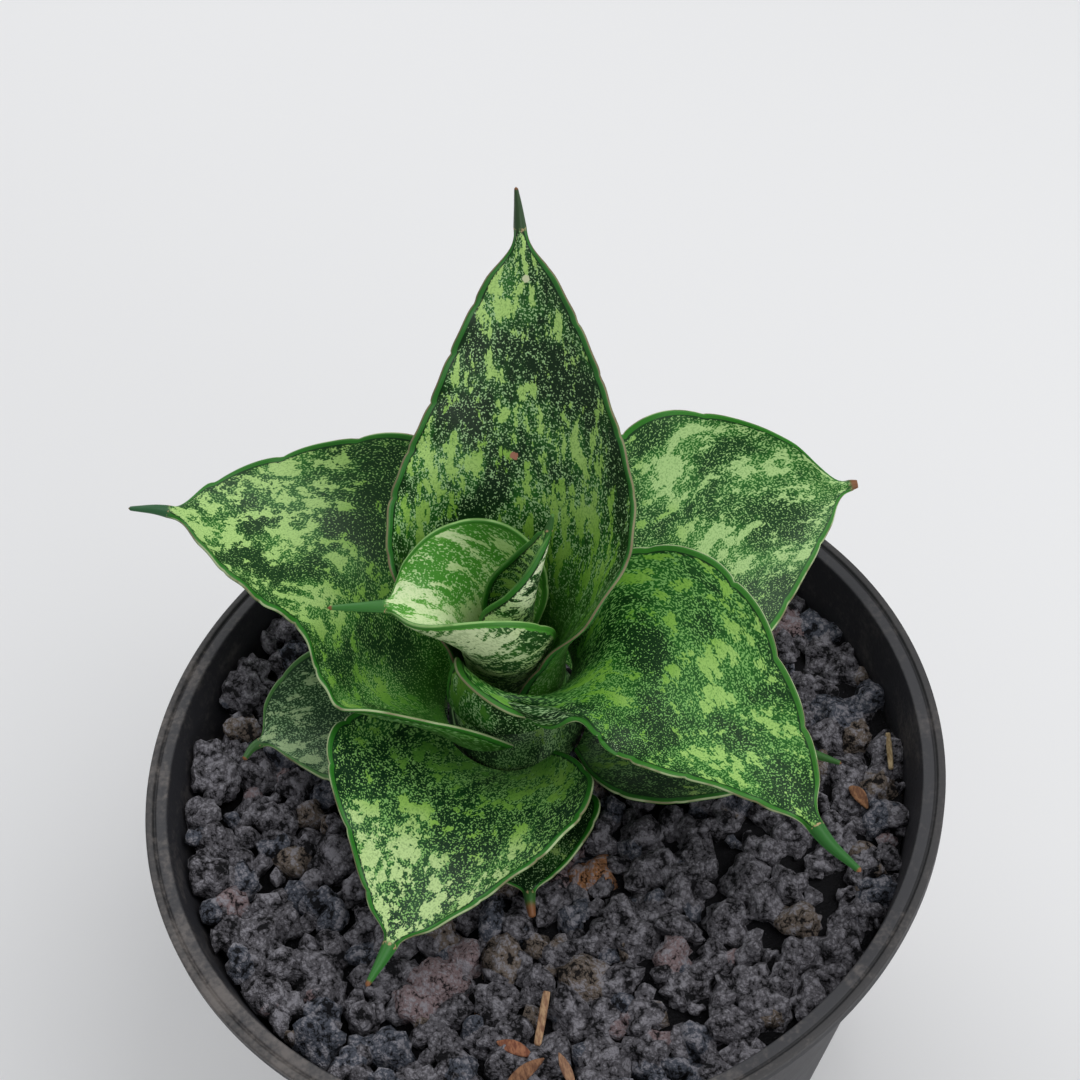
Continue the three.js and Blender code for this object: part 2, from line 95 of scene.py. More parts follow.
def add(
    tree: Tree,
    kind: str,
    inputs: dict[int | str, object] | None = None,
    take: int | str = 0,
    **settings: object,
) -> Socket | None:
    """Adds a node, sets it up and links what feeds it.

    Args:
        tree: The node tree.
        kind: The node's type name, which for a shader node goes without its first part, "ShaderNode".
        inputs: A value, a hex colour, or the output to link, for each input by its name or index.
        take: The output to hand back, by its name or index.
        **settings: The node's own properties.

    Returns:
        The output asked for, or None if the node has none.
    """
    made = tree.nodes.new(kind if "Node" in kind else f"ShaderNode{kind}")
    for name, value in settings.items():
        setattr(made, name, value)
    for key, value in (inputs or {}).items():
        if isinstance(value, Socket):
            tree.links.new(value, made.inputs[key])
        else:
            is_colour = isinstance(value, str) and value.startswith("#")
            made.inputs[key].default_value = linear(value) if is_colour else value
    return made.outputs[take] if len(made.outputs) else None


def new_material(name: str) -> tuple[Material, Callable]:
    """Makes an empty material.

    Args:
        name: Its name.

    Returns:
        The material, and add() for its node tree.
    """
    material = bpy.data.materials.new(name)
    material.use_nodes = True
    material.node_tree.nodes.clear()
    return material, partial(add, material.node_tree)


@dataclass(frozen=True)
class Mottle:
    """The pattern on one face of a leaf: ragged pale blotches and fine pale dots on a dark ground.

    ground is the darkest green, green the haze over it, dot the fine dots, and dim, blotch and pale the
    blotches from the foot to the apex; the dim colour at the foot is partly painted shade of the crown. Sizes
    are millimetres on the leaf, across and along it. More cover gives more blotches, tip_cover more of them
    towards the apex, and mist more dots.
    """

    ground: str = "#0a280d"
    green: str = "#286a1e"
    dot: str = "#98bd84"
    dim: str = "#3f7629"
    blotch: str = "#7fae3e"
    pale: str = "#a8cd74"
    blotch_size: tuple[float, float] = (3.0, 5.0)
    dot_size: tuple[float, float] = (0.32, 0.38)
    cover: float = 0.0
    mist: float = 0.0
    tip_cover: float = 0.03

    def colour(self, node: Callable, place: Socket, run: Socket | float) -> Socket:
        """Builds the pattern.

        Args:
            node: Adds a node to the material.
            place: Millimetres across and along the leaf.
            run: 0 at the foot to 1 at the apex.

        Returns:
            The pattern's colour.
        """
        value = {"run": run}
        patch = {"blot": 1, "broad": 0.5, "grain": 0.26, "dots": 0.1, "run": self.tip_cover}
        for name, size, detail, roughness in (
            ("broad", (11, 16), 1.5, 0.5),
            ("blot", self.blotch_size, 4.0, 0.66),
            ("grain", (1.1, 1.9), 2.0, 0.6),
            ("dots", self.dot_size, 0.6, 0.5),
        ):
            scale = (1 / size[0], 1 / size[1], 0.02)
            spot = node("Mapping", {"Vector": place, "Scale": scale})
            look = {"Vector": spot, "Scale": 1.0, "Detail": detail, "Roughness": roughness}
            value[name] = node("TexNoise", look)
        for name, total, weights, low, high in (
            ("patch", self.cover - 0.53, patch, 0.46, 0.5),
            ("haze", self.mist - 0.45, {"broad": 1.3, "blot": 0.55, "grain": 0.3}, 0.46, 0.8),
            ("speck", self.mist - 0.42, {"dots": 1, "broad": 0.4, "blot": 0.3, "grain": 0.25}, 0.6, 0.68),
            ("pit", 0.0, {"dots": 1}, 0.52, 0.36),
            ("out", 0.0, {"run": 1.0, "broad": 0.6}, 0.3, 0.75),
            ("end", -0.3, {"run": 1.0, "broad": 0.9}, 0.45, 0.85),
        ):
            for part, weight in weights.items():
                total = node("Math", {0: value[part], 1: weight, 2: total}, **SUM)
            value[name] = node("MapRange", {"Value": total, "From Min": low, "From Max": high}, **STEP)
        part_haze = node("Math", {0: value["haze"], 1: 0.8}, operation="MULTIPLY")
        part_pit = node("Math", {0: value["pit"], 1: 0.3}, operation="MULTIPLY")
        # The blotches go dim towards the foot, partly as painted shade of the crown
        light = self.dim
        for share, colour in ((value["out"], self.blotch), (value["end"], self.pale), (part_pit, self.green)):
            light = node("Mix", {0: share, 6: light, 7: colour}, **MIX)
        skin = self.ground
        for share, colour in ((part_haze, self.green), (value["speck"], self.dot), (value["patch"], light)):
            skin = node("Mix", {0: share, 6: skin, 7: colour}, **MIX)
        return skin


@dataclass(frozen=True)
class LeafSkin:
    """A living snake plant leaf: firm, waxy skin with a low, broad sheen.

    The margin is a smooth green band under 1 mm wide that ends in a thin pale line with stained stretches,
    and the awl dries to brown at its end. band_width, tip_brown and fresh_reach are millimetres, and fresh is
    the yellower green near the foot. marks are small scars, each as the distances across and along from the
    foot, the radius and the colour.
    """

    face: Mottle = Mottle()
    back: Mottle = Mottle(cover=-0.06)
    seed: float = 0.0
    band: str = "#28701c"
    edge: str = "#a9b98a"
    fresh: str = "#4f9a28"
    stain: str = "#7d7a58"
    dry: str = "#7c5234"
    awl: str = "#35602c"
    scar: str = "#a8926a"
    tip_brown: float = 0.6
    fresh_reach: float = 0.0
    fresh_share: float = 0.5
    band_width: float = 0.75
    roughness: float = 0.4
    marks: tuple[tuple[float, float, float, str], ...] = ()

    def material(self, name: str, length: float, awl_length: float) -> Material:
        """Builds the material for one leaf.

        Args:
            name: The leaf's name.
            length: The blade's length in millimetres.
            awl_length: The awl's length in millimetres.

        Returns:
            The material.
        """
        material, node = new_material(f"waxy_{name}")
        place = node("Attribute", attribute_name="place", take="Vector")
        edge, tip, upper = (
            node("Attribute", attribute_name=mark, take="Fac") for mark in ("edge", "tip", "upper")
        )
        # The seed moves each leaf to a part of the noise of its own
        offset = (self.seed * 3.1, self.seed * 7.7, self.seed * 90)
        spot = node("VectorMath", {0: place, 1: offset}, operation="ADD")
        blade = node("Math", {0: tip, 1: awl_length}, operation="SUBTRACT")
        run = node("Math", {0: blade, 1: -1 / length, 2: 1.0}, **SUM)
        noise = {}
        for part, size, detail in (
            ("ragged", (0.5, 0.9), 2.0), ("stain", (3, 6), 2.0), ("ribs", (0.8, 14), 2.0),
            ("pores", (0.4, 0.5), 1.0), ("bloom", (7, 10), 2.0),
        ):
            at = node("Mapping", {"Vector": spot, "Scale": (1 / size[0], 1 / size[1], 0.02)})
            noise[part] = node("TexNoise", {"Vector": at, "Scale": 1.0, "Detail": detail})
        frayed = node("Math", {0: noise["ragged"], 1: 1.4, 2: edge}, **SUM)
        apex = node("Math", {0: blade}, operation="ABSOLUTE")
        scar = node("Math", {0: noise["ragged"], 1: 3.4, 2: apex}, **SUM)
        foot = length - self.fresh_reach
        shares = {}
        for part, value, low, high in (
            ("upper", upper, 0.45, 0.55),
            ("fresh", blade, foot - 1, length),
            ("rule", frayed, self.band_width + 1.25, self.band_width + 0.95),
            ("band", edge, self.band_width + 0.12, self.band_width - 0.12),
            ("stain", noise["stain"], 0.45, 0.62),
            ("edge", edge, -0.3, -0.42),
            ("awl", blade, 0.9, -0.6),
            ("scar", scar, 1.75, 1.35),
            ("dry", tip, self.tip_brown, self.tip_brown * 0.5),
        ):
            shares[part] = node("MapRange", {"Value": value, "From Min": low, "From Max": high}, **STEP)
        shares["fresh"] = node("Math", {0: shares["fresh"], 1: self.fresh_share}, operation="MULTIPLY")
        line = node("Mix", {0: shares["stain"], 6: self.edge, 7: self.stain}, **MIX)
        layers = [(shares["upper"], self.face.colour(node, spot, run))]
        if self.fresh_reach:
            layers.append((shares["fresh"], self.fresh))
        layers += [
            (shares["rule"], self.face.ground), (shares["band"], self.band), (shares["edge"], line),
            (shares["awl"], self.awl), (shares["scar"], self.scar), (shares["dry"], self.dry),
        ]
        for across, along_leaf, radius, colour in self.marks:
            middle = {0: place, 1: (across, along_leaf, 0)}
            away = node("VectorMath", middle, take="Value", operation="DISTANCE")
            rough = node("Math", {0: noise["ragged"], 1: radius, 2: away}, **SUM)
            inside = {"Value": rough, "From Min": radius * 1.65, "From Max": radius * 1.35}
            layers.append((node("MapRange", inside, **STEP), colour))
        skin = self.back.colour(node, spot, run)
        for share, colour in layers:
            skin = node("Mix", {0: share, 6: skin, 7: colour}, **MIX)
        pores = node("Math", {0: noise["pores"], 1: 0.35}, operation="MULTIPLY")
        relief = node("Math", {0: noise["ribs"], 1: 0.8, 2: pores}, **SUM)
        bump = node("Bump", {"Strength": 0.35, "Distance": 0.25 * MM, "Height": relief})
        sheen = node("Math", {0: noise["bloom"], 1: 0.2, 2: self.roughness - 0.1}, **SUM)
        wax = {"Base Color": skin, "Roughness": sheen, "Normal": bump, "IOR": 1.45, "Specular IOR Level": 0.3}
        node("OutputMaterial", {"Surface": node("BsdfPrincipled", wax)})
        return material


@dataclass(frozen=True)
class SheathSkinInPaintedShade:
    """The outermost sheath round the stem: the waxy skin of a leaf's foot, in a very dark green that is
    painted shade, with fine pale dots.

    ribs is how many ribs a millimetre holds across, along and out of the skin.
    """

    # The very dark ground is painted shade: the stem shows only in the shade under the leaves
    skin: Mottle = Mottle("#0d2f10", "#1f5519", "#7fa86a", cover=-0.08, mist=0.03)
    ribs: Triple = (1.2, 0.08, 0.02)
    roughness: float = 0.5

    def material(self) -> Material:
        """Builds the material, with the pattern laid on the stem's front.

        Returns:
            The material.
        """
        material, node = new_material("waxy_sheath_in_painted_shade")
        metres = node("TexCoord", take="Object")
        upright = {"Vector": metres, "Rotation": (-math.pi / 2, 0, 0), "Scale": (1 / MM,) * 3}
        place = node("Mapping", upright)
        ribs = node("Mapping", {"Vector": place, "Scale": self.ribs})
        relief = node("TexNoise", {"Vector": ribs, "Scale": 1.0, "Detail": 2.0})
        bump = node("Bump", {"Strength": 0.4, "Distance": 0.25 * MM, "Height": relief})
        wax = {"Base Color": self.skin.colour(node, place, 0.2), "Roughness": self.roughness, "Normal": bump}
        node("OutputMaterial", {"Surface": node("BsdfPrincipled", wax)})
        return material


@dataclass(frozen=True)
class LavaRock:
    """Scoria: black volcanic rock that froze as froth, dull, with fine knobs and holes between them.

    knob_size is the knobs' width in millimetres, and relief how much each layer adds to the surface's height,
    where knob is the grain's own shape. The near-black colour in the relief's low parts is painted shade, and
    the pale colour on its high parts a painted highlight; their triples give the heights at which each starts
    and is full, and the share of its colour there.
    """

    charcoal: str = "#5a585d"
    slate: str = "#4d515b"
    umber: str = "#6d6259"
    mauve: str = "#7f6e70"
    rust: str = "#9c6e4c"
    hole: str = "#08080b"
    crest_highlight: str = "#95939a"
    knob_size: float = 0.9
    relief: tuple[tuple[str, float], ...] = (("froth", 0.42), ("beads", 0.22), ("grit", 0.34), ("knob", 0.82))
    shade_at: Triple = (0.84, 0.64, 0.95)
    highlight_at: Triple = (0.86, 1.08, 0.75)

    def material(self) -> Material:
        """Builds the material.

        Returns:
            The material.
        """
        material, node = new_material("scoria_gravel")
        place = node("TexCoord", take="Object")
        grain = node("Attribute", attribute_name="grain", take="Fac")
        knob = node("Attribute", attribute_name="knob", take="Fac")
        # Of the grains, 66% are charcoal, 20% slate, 7% umber, 6% mauve and the rest rust
        hue = self.charcoal
        for low, colour in (
            (0.5, self.slate), (0.7, self.charcoal), (0.86, self.umber), (0.93, self.mauve),
            (0.993, self.rust),
        ):
            kind = node("Math", {0: grain, 1: low}, operation="GREATER_THAN")
            hue = node("Mix", {0: kind, 6: hue, 7: colour}, **MIX)
        size = self.knob_size * MM
        warp = node("TexNoise", {"Vector": place, "Scale": 0.8 / size, "Detail": 3.0}, take="Color")
        bent = node("VectorMath", {0: warp, 1: (size * 0.9,) * 3, 2: place}, **SUM)
        parts = {"knob": knob}
        for name, scale in (("froth", 1 / size), ("beads", 2.3 / size)):
            cells = node("TexVoronoi", {"Vector": bent, "Scale": scale}, feature="F1")
            parts[name] = node("Math", {0: 1.0, 1: cells}, operation="SUBTRACT")
        grit = {"Vector": place, "Scale": 2.4 / size, "Detail": 3.0, "Roughness": 0.7}
        parts["grit"] = node("TexNoise", grit)
        height: Socket | float = 0.0
        for name, weight in self.relief:
            height = node("Math", {0: parts[name], 1: weight, 2: height}, **SUM)
        shade = hue
        # Painted shade darkens the relief's low parts to near black, and a painted highlight pales its high
        # parts
        for (low, high, share), colour in ((self.shade_at, self.hole), (self.highlight_at, self.crest_highlight)):
            rise = {"Value": height, "From Min": low, "From Max": high, "To Max": share}
            amount = node("MapRange", rise, **STEP)
            shade = node("Mix", {0: amount, 6: shade, 7: colour}, **MIX)
        bump = node("Bump", {"Strength": 1.0, "Distance": 0.9 * MM, "Height": height})
        rock = {"Base Color": shade, "Roughness": 0.95, "Normal": bump, "Specular IOR Level": 0.2}
        node("OutputMaterial", {"Surface": node("BsdfPrincipled", rock)})
        return material


@dataclass(frozen=True)
class PotPlastic:
    """Black polypropylene, injection moulded thin: a dull, slightly grained skin with dry dust on the rim.

    The real grain is a few tenths of a millimetre, and is drawn 1.1 mm coarse so that it shows. dust_slant is
    how much more dust lies with each millimetre along X, Y and Z: more to the front and left.
    """

    black: str = "#26262a"
    # lip, band and groove are painted light and shade on the rim's black plastic
    lip: str = "#3b3a3b"
    band: str = "#38383b"
    groove: str = "#1a1a1c"
    dust: str = "#7c7571"
    dust_slant: Triple = (-0.0022, -0.0019, 0)

    def material(self, rim_z: float, groove_radius: float, inner_radius: float) -> Material:
        """Builds the material.

        Args:
            rim_z: The rim's height in millimetres.
            groove_radius: The groove's radius in millimetres.
            inner_radius: The radius of the rim's inner edge in millimetres.

        Returns:
            The material.
        """
        material, node = new_material("polypropylene_black")
        metres = node("TexCoord", take="Object")
        place = node("VectorMath", {0: metres, "Scale": 1 / MM}, operation="SCALE")
        flat = node("VectorMath", {0: place, 1: (1, 1, 0)}, operation="MULTIPLY")
        radius = node("VectorMath", {0: flat}, take="Value", operation="LENGTH")
        height = node("SeparateXYZ", {0: place}, take="Z")
        slant = {0: place, 1: self.dust_slant}
        front_left = node("VectorMath", slant, take="Value", operation="DOT_PRODUCT")
        noise = {}
        for name, size, detail in (("smear", (12, 12, 6), 4.0), ("sandy", (1.1, 1.1, 1.1), 2.0)):
            at = node("Mapping", {"Vector": place, "Scale": tuple(1 / s for s in size)})
            noise[name] = node("TexNoise", {"Vector": at, "Scale": 1.0, "Detail": detail, "Roughness": 0.62})
        streaks = node("Math", {0: noise["smear"], 1: 1.2, 2: front_left}, **SUM)
        worn = node("Math", {0: noise["sandy"], 1: 0.5, 2: streaks}, **SUM)
        film = node("Math", {0: noise["sandy"], 1: 0.5, 2: noise["smear"]}, **SUM)
        relief = node("Math", {0: noise["sandy"], 1: 1.1, 2: noise["smear"]}, **SUM)
        shares = {}
        for name, value, low, high, most in (
            ("top", height, rim_z - 1.6, rim_z - 0.8, 1.0),
            ("lip", radius, groove_radius - 0.2, groove_radius + 0.6, 1.0),
            ("wall", radius, inner_radius + 0.4, inner_radius - 0.2, 1.0),
            ("dirt", worn, 0.85, 1.25, 0.45),
            ("film", film, 0.7, 1.05, 0.22),
        ):
            rise = {"Value": value, "From Min": low, "From Max": high, "To Max": most}
            shares[name] = node("MapRange", rise, **STEP)
        in_groove = node("Math", {0: radius, 1: groove_radius, 2: 0.4}, operation="COMPARE")
        shares["groove"] = node("Math", {0: in_groove, 1: 0.8}, operation="MULTIPLY")
        # The rim's top is painted lighter grey as painted light, the outer lip a little lighter again as a
        # painted highlight, and the groove darker as painted shade, with the dust over them
        rim = self.band
        for name, colour in (
            ("lip", self.lip), ("groove", self.groove), ("dirt", self.dust), ("wall", self.black)
        ):
            rim = node("Mix", {0: shares[name], 6: rim, 7: colour}, **MIX)
        skin = self.black
        for name, colour in (("top", rim), ("film", self.dust)):
            skin = node("Mix", {0: shares[name], 6: skin, 7: colour}, **MIX)
        bump = node("Bump", {"Strength": 0.3, "Distance": 0.3 * MM, "Height": relief})
        gloss = node("Math", {0: noise["smear"], 1: 0.3, 2: 0.42}, **SUM)
        plastic = {
            "Base Color": skin, "Roughness": gloss, "Normal": bump, "IOR": 1.49, "Specular IOR Level": 0.3
        }
        node("OutputMaterial", {"Surface": node("BsdfPrincipled", plastic)})
        return material


@dataclass(frozen=True)
class Fibre:
    """Dry plant fibre: dull, streaked along its length in two tones.

    fibre_size is the streaks' size in millimetres along X, Y and Z.
    """

    dark: str
    light: str
    fibre_size: Triple = (0.7, 2.2, 0.7)
    roughness: float = 0.8

    def material(self, name: str) -> Material:
        """Builds the material.

        Args:
            name: The finish's name.

        Returns:
            The material.
        """
        material, node = new_material(name)
        place = node("TexCoord", take="Object")
        scale = tuple(1 / (s * MM) for s in self.fibre_size)
        spot = node("Mapping", {"Vector": place, "Scale": scale})
        fibre = node("TexNoise", {"Vector": spot, "Scale": 1.0, "Detail": 4.0, "Roughness": 0.6})
        share = node("MapRange", {"Value": fibre, "From Min": 0.36, "From Max": 0.64}, **STEP)
        colour = node("Mix", {0: share, 6: self.dark, 7: self.light}, **MIX)
        bump = node("Bump", {"Strength": 0.6, "Distance": 0.2 * MM, "Height": fibre})
        dull = {"Base Color": colour, "Roughness": self.roughness, "Normal": bump, "Specular IOR Level": 0.3}
        node("OutputMaterial", {"Surface": node("BsdfPrincipled", dull)})
        return material


def along(keys: Sequence[float], u: np.ndarray) -> np.ndarray:
    """Reads a smooth curve through keys that are spaced evenly from 0 to 1.

    Args:
        keys: The curve's values.
        u: Where to read it.

    Returns:
        The values at u.
    """
    k = np.asarray(keys, float)
    padded = np.concatenate([[2 * k[0] - k[1]], k, [2 * k[-1] - k[-2]]])
    last = len(k) - 1
    place = np.clip(u, 0, 1) * last
    i = np.minimum(np.floor(place).astype(int), last - 1)
    t = place - i
    a, b, c, d = (padded[i + n] for n in range(4))
    return b + 0.5 * t * (c - a + t * (2 * a - 5 * b + 4 * c - d + t * (3 * (b - c) + d - a)))


def smooth(x: np.ndarray | float) -> np.ndarray:
    """Rises smoothly from 0 to 1 as x does."""
    t = np.clip(x, 0, 1)
    return t * t * (3 - 2 * t)


def axes_at(elevation: np.ndarray, azimuth: np.ndarray, tilt: np.ndarray) -> tuple[np.ndarray, ...]:
    """The directions along, across and out of a leaf's face.

    Args:
        elevation: The midrib's rise in degrees.
        azimuth: Its heading in degrees.
        tilt: The face's turn about it in degrees.

    Returns:
        Three arrays of unit vectors.
    """
    e, a, t = np.radians(elevation), np.radians(azimuth), np.radians(tilt)[:, None]
    forward = np.stack([np.cos(e) * np.cos(a), np.cos(e) * np.sin(a), np.sin(e)], -1)
    side = np.stack([-np.sin(a), np.cos(a), 0 * a], -1)
    face = np.cross(forward, side)
    return forward, side * np.cos(t) + face * np.sin(t), face * np.cos(t) - side * np.sin(t)


def placed(name: str, data: bpy.types.ID) -> Object:
    """Makes an object and puts it in the scene, at the origin.

    Args:
        name: The object's name.
        data: Its mesh, light or camera.

    Returns:
        The object.
    """
    made = bpy.data.objects.new(name, data)
    bpy.context.scene.collection.objects.link(made)
    return made


def mesh_object(name: str, points: np.ndarray, faces: Sequence[Sequence[int]], material: Material) -> Object:
    """Makes a smooth-shaded mesh object at the origin.

    Args:
        name: The object's name.
        points: Its points in millimetres.
        faces: Its faces as point numbers.
        material: Its material.

    Returns:
        The object.
    """
    mesh = bpy.data.meshes.new(name)
    mesh.from_pydata((np.asarray(points, float) * MM).tolist(), [], [list(f) for f in faces])
    mesh.validate()
    mesh.shade_smooth()
    mesh.materials.append(material)
    return placed(name, mesh)


def store(target: Object, name: str, values: np.ndarray) -> None:
    """Stores one number or vector for each point of a mesh.

    Args:
        target: The mesh object.
        name: The attribute's name.
        values: The values.
    """
    values = np.asarray(values, np.float32)
    kind, field_name = ("FLOAT_VECTOR", "vector") if values.ndim == 2 else ("FLOAT", "value")
    attribute = target.data.attributes.new(name, kind, "POINT")
    attribute.data.foreach_set(field_name, values.ravel())


def seat(piece: Object, slot: Slot, *nodes: str) -> Object:
    """Lets a finished piece ride with the pot in place of the plain solids.

    Args:
        piece: The finished piece.
        slot: Its material slot, which is not used.
        *nodes: The solids that it stands for.

    Returns:
        The piece.
    """
    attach(piece, BODY)
    if nodes:
        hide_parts(*nodes)
    return piece


def baked(source: Object, name: str) -> Object:
    """Turns an object with modifiers into a plain mesh object and removes the first.

    Args:
        source: The object.
        name: The new object's name.

    Returns:
        The plain mesh object.
    """
    evaluated = source.evaluated_get(bpy.context.evaluated_depsgraph_get())
    mesh = bpy.data.meshes.new_from_object(evaluated)
    bpy.data.objects.remove(source)
    mesh.name = name
    return placed(name, mesh)


def carved(raw: Object, tool: bmesh.types.BMesh, name: str) -> Object:
    """Cuts a closed shape out of a solid.

    Args:
        raw: The solid, which is removed.
        tool: The shape to cut away, which is freed.
        name: The new object's name.

    Returns:
        The cut solid as a plain mesh object.
    """
    mesh = bpy.data.meshes.new(f"{name}_cutter")
    tool.to_mesh(mesh)
    tool.free()
    cutter = placed(f"{name}_cutter", mesh)
    cut = raw.modifiers.new("cut", "BOOLEAN")
    cut.operation, cut.solver, cut.object = "DIFFERENCE", "EXACT", cutter
    made = baked(raw, name)
    bpy.data.objects.remove(cutter)
    return made


def revolve(name: str, profile: Sequence[tuple[float, float]], sides: int, material: Material) -> Object:
    """Turns a profile about the Z axis into a closed solid.

    Args:
        name: The object's name.
        profile: Radius and height of each point, up the outside from the axis and back to it.
        sides: The number of sides.
        material: The material.

    Returns:
        The object.
    """
    turns = np.arange(sides) * 2 * math.pi / sides
    points: list[Triple] = []
    rings: list[list[int]] = []
    for r, z in profile:
        start = len(points)
        if r == 0:
            points.append((0, 0, z))
            rings.append([start] * sides)
        else:
            points.extend((r * math.cos(t), r * math.sin(t), z) for t in turns)
            rings.append(list(range(start, start + sides)))
    faces = []
    for low, high in zip(rings, rings[1:]):
        for k in range(sides):
            n = (k + 1) % sides
            face = list(dict.fromkeys((low[k], low[n], high[n], high[k])))
            if len(face) > 2:
                faces.append(face)
    return mesh_object(name, np.array(points), faces, material)


@dataclass(frozen=True)
class Leaf:
    """One leaf, laid out as in the solids: lists are spaced evenly from the foot to the apex.

    azimuth is where it leans, foot the ring radius and height of its sheath, rise and turn its midrib's
    course, half its half-width, wrap the half-angle of the arc that the face bends round, shift how far the
    blade lies to the left of the midrib, tilt the face's turn, and thickness that at the foot and the apex.
    awl is the tip's length, elevation, turn and two radii, and lobes the margin's lobes and their depth.
    collar is where the sheath opens outward: its radius, height, opening, heading and spread.
    """

    name: str
    azimuth: float
    foot: tuple[float, float]
    length: float
    rise: tuple[float, ...]
    turn: tuple[float, ...]
    half: tuple[float, ...]
    wrap: tuple[float, ...]
    awl: tuple[float, float, float, float, float]
    lobes: tuple[float, float]
    shift: tuple[float, ...] = (0, 0)
    tilt: tuple[float, ...] = (0, 0)
    thickness: tuple[float, float] = (2.4, 1.8)
    collar: tuple[float, float, float, float, float] | None = None


@dataclass
class Rosette:
    """The leaves and the stem that carries them.

    stem_steps are the stem's radii and heights, from the level of the soil. The midrib's course is summed in
    walk_steps steps. blade_steps, awl_steps, across and cap_steps are the mesh's points along the blade and
    the awl, across a face and round a margin, and packing crowds them towards the foot. margin is the
    margin's thickness, and apex_blend where the blade starts to round into the awl. The awl bends over
    awl_bend times as fast as its length runs, and its end is rounded off from the first share in blunting
    over the second.

    notch is how much deeper the margin's notches are than the solid's, ripple how far the margin waves up and
    down with them, lobe_start where the first lobe starts on the left and the right, and lobe_fade how fast
    they fade in from the foot and out at the apex. The collar's wall bends outward over collar_bend
    millimetres, fades over collar_fade degrees, ends collar_reach from the axis and keeps collar_share of its
    height.
    """

    leaves: tuple[Leaf, ...]
    skins: dict[str, LeafSkin]
    sheath: SheathSkinInPaintedShade = SheathSkinInPaintedShade()
    stem: tuple[float, float] = (-3, 15)
    soil: float = 110
    stem_steps: tuple[tuple[float, float], ...] = (
        (8, -24), (9, -20), (9, 0.4), (13.9, 2), (13.8, 6.5), (12.4, 8.8),
        (11.2, 13.4), (7.6, 14.4), (6.6, 17), (4.4, 18.6), (4.2, 23), (2.6, 28.5),
    )
    stem_sides: int = 96
    walk_steps: int = 2000
    blade_steps: int = 150
    awl_steps: int = 22
    across: int = 45
    cap_steps: int = 4
    packing: float = 1.3
    margin: float = 0.9
    apex_blend: float = 0.9
    awl_bend: float = 1.6
    blunting: tuple[float, float] = (0.93, 0.07)
    collar_bend: float = 5
    collar_fade: float = 40
    collar_reach: float = 44
    collar_share: float = 0.8
    notch: float = 1.5
    ripple: float = 0.45
    lobe_start: tuple[float, float] = (0.35, 0.8)
    lobe_fade: tuple[float, float] = (5, 6)

    def course(self, leaf: Leaf) -> dict[str, np.ndarray]:
        """Walks a leaf's midrib from foot to tip.

        Args:
            leaf: The leaf.

        Returns:
            u along the blade, v along the awl, and the point, side and face at each station.
        """
        awl_length, awl_rise, awl_turn = leaf.awl[:3]

        def blade(u: np.ndarray) -> tuple[np.ndarray, ...]:
            """The directions at places along the blade."""
            return axes_at(along(leaf.rise, u), leaf.azimuth + along(leaf.turn, u), along(leaf.tilt, u))

        def awl(v: np.ndarray) -> tuple[np.ndarray, ...]:
            """The directions at places along the awl, which bends over near its foot.

            Args:
                v: The places, from 0 to 1.

            Returns:
                Three arrays of unit vectors, as from axes_at().
            """
            bent = smooth(v * self.awl_bend)
            end = np.ones_like(v)
            rise = along(leaf.rise, end) * (1 - bent) + awl_rise * bent
            turn = along(leaf.turn, end) * (1 - bent) + awl_turn * bent
            return axes_at(rise, leaf.azimuth + turn, along(leaf.tilt, end))

        heading = math.radians(leaf.azimuth + leaf.turn[0])
        start = np.array([
            self.stem[0] + leaf.foot[0] * math.cos(heading),
            self.stem[1] + leaf.foot[0] * math.sin(heading),
            self.soil + leaf.foot[1],
        ])
        fine = np.linspace(0, 1, self.walk_steps + 1)
        middle = (fine[1:] + fine[:-1]) / 2
        paths = []
        for directions, length in ((blade, leaf.length), (awl, awl_length)):
            steps = np.cumsum(directions(middle)[0], 0) * length / self.walk_steps
            paths.append(start + np.vstack([np.zeros(3), steps]))
            start = paths[-1][-1]
        u = (np.arange(self.blade_steps) / self.blade_steps) ** self.packing
        v = np.arange(self.awl_steps + 1) / self.awl_steps
        sections = [(u, paths[0], blade(u)), (v, paths[1], awl(v))]
        points = [np.stack([np.interp(s, fine, path[:, k]) for k in range(3)], -1) for s, path, _ in sections]
        _, side, face = (np.vstack([axes[i] for _, _, axes in sections]) for i in range(3))
        return {
            "u": np.concatenate([u, np.ones_like(v)]),
            "v": np.concatenate([np.zeros_like(u), v]),
            "point": np.vstack(points),
            "side": side,
            "face": face,
        }

    def fade(self, u: np.ndarray) -> np.ndarray:
        """Fades the lobes out at the foot and the apex."""
        return smooth(u * self.lobe_fade[0]) * smooth((1 - u) * self.lobe_fade[1])

    def lobe(self, leaf: Leaf, u: np.ndarray, side: float) -> tuple[np.ndarray, np.ndarray]:
        """How the margin runs in shallow lobes.

        Args:
            leaf: The leaf.
            u: Where along the blade.
            side: Above 0 for the left margin.

        Returns:
            How far the margin stands in, in millimetres, and the place within its lobe from 0 to 1.
        """
        count, depth = leaf.lobes
        phase = count * u + self.lobe_start[0 if side > 0 else 1]
        within = phase - np.floor(phase)
        return self.notch * depth * (1 - np.sqrt(np.sin(math.pi * within))) * self.fade(u), within

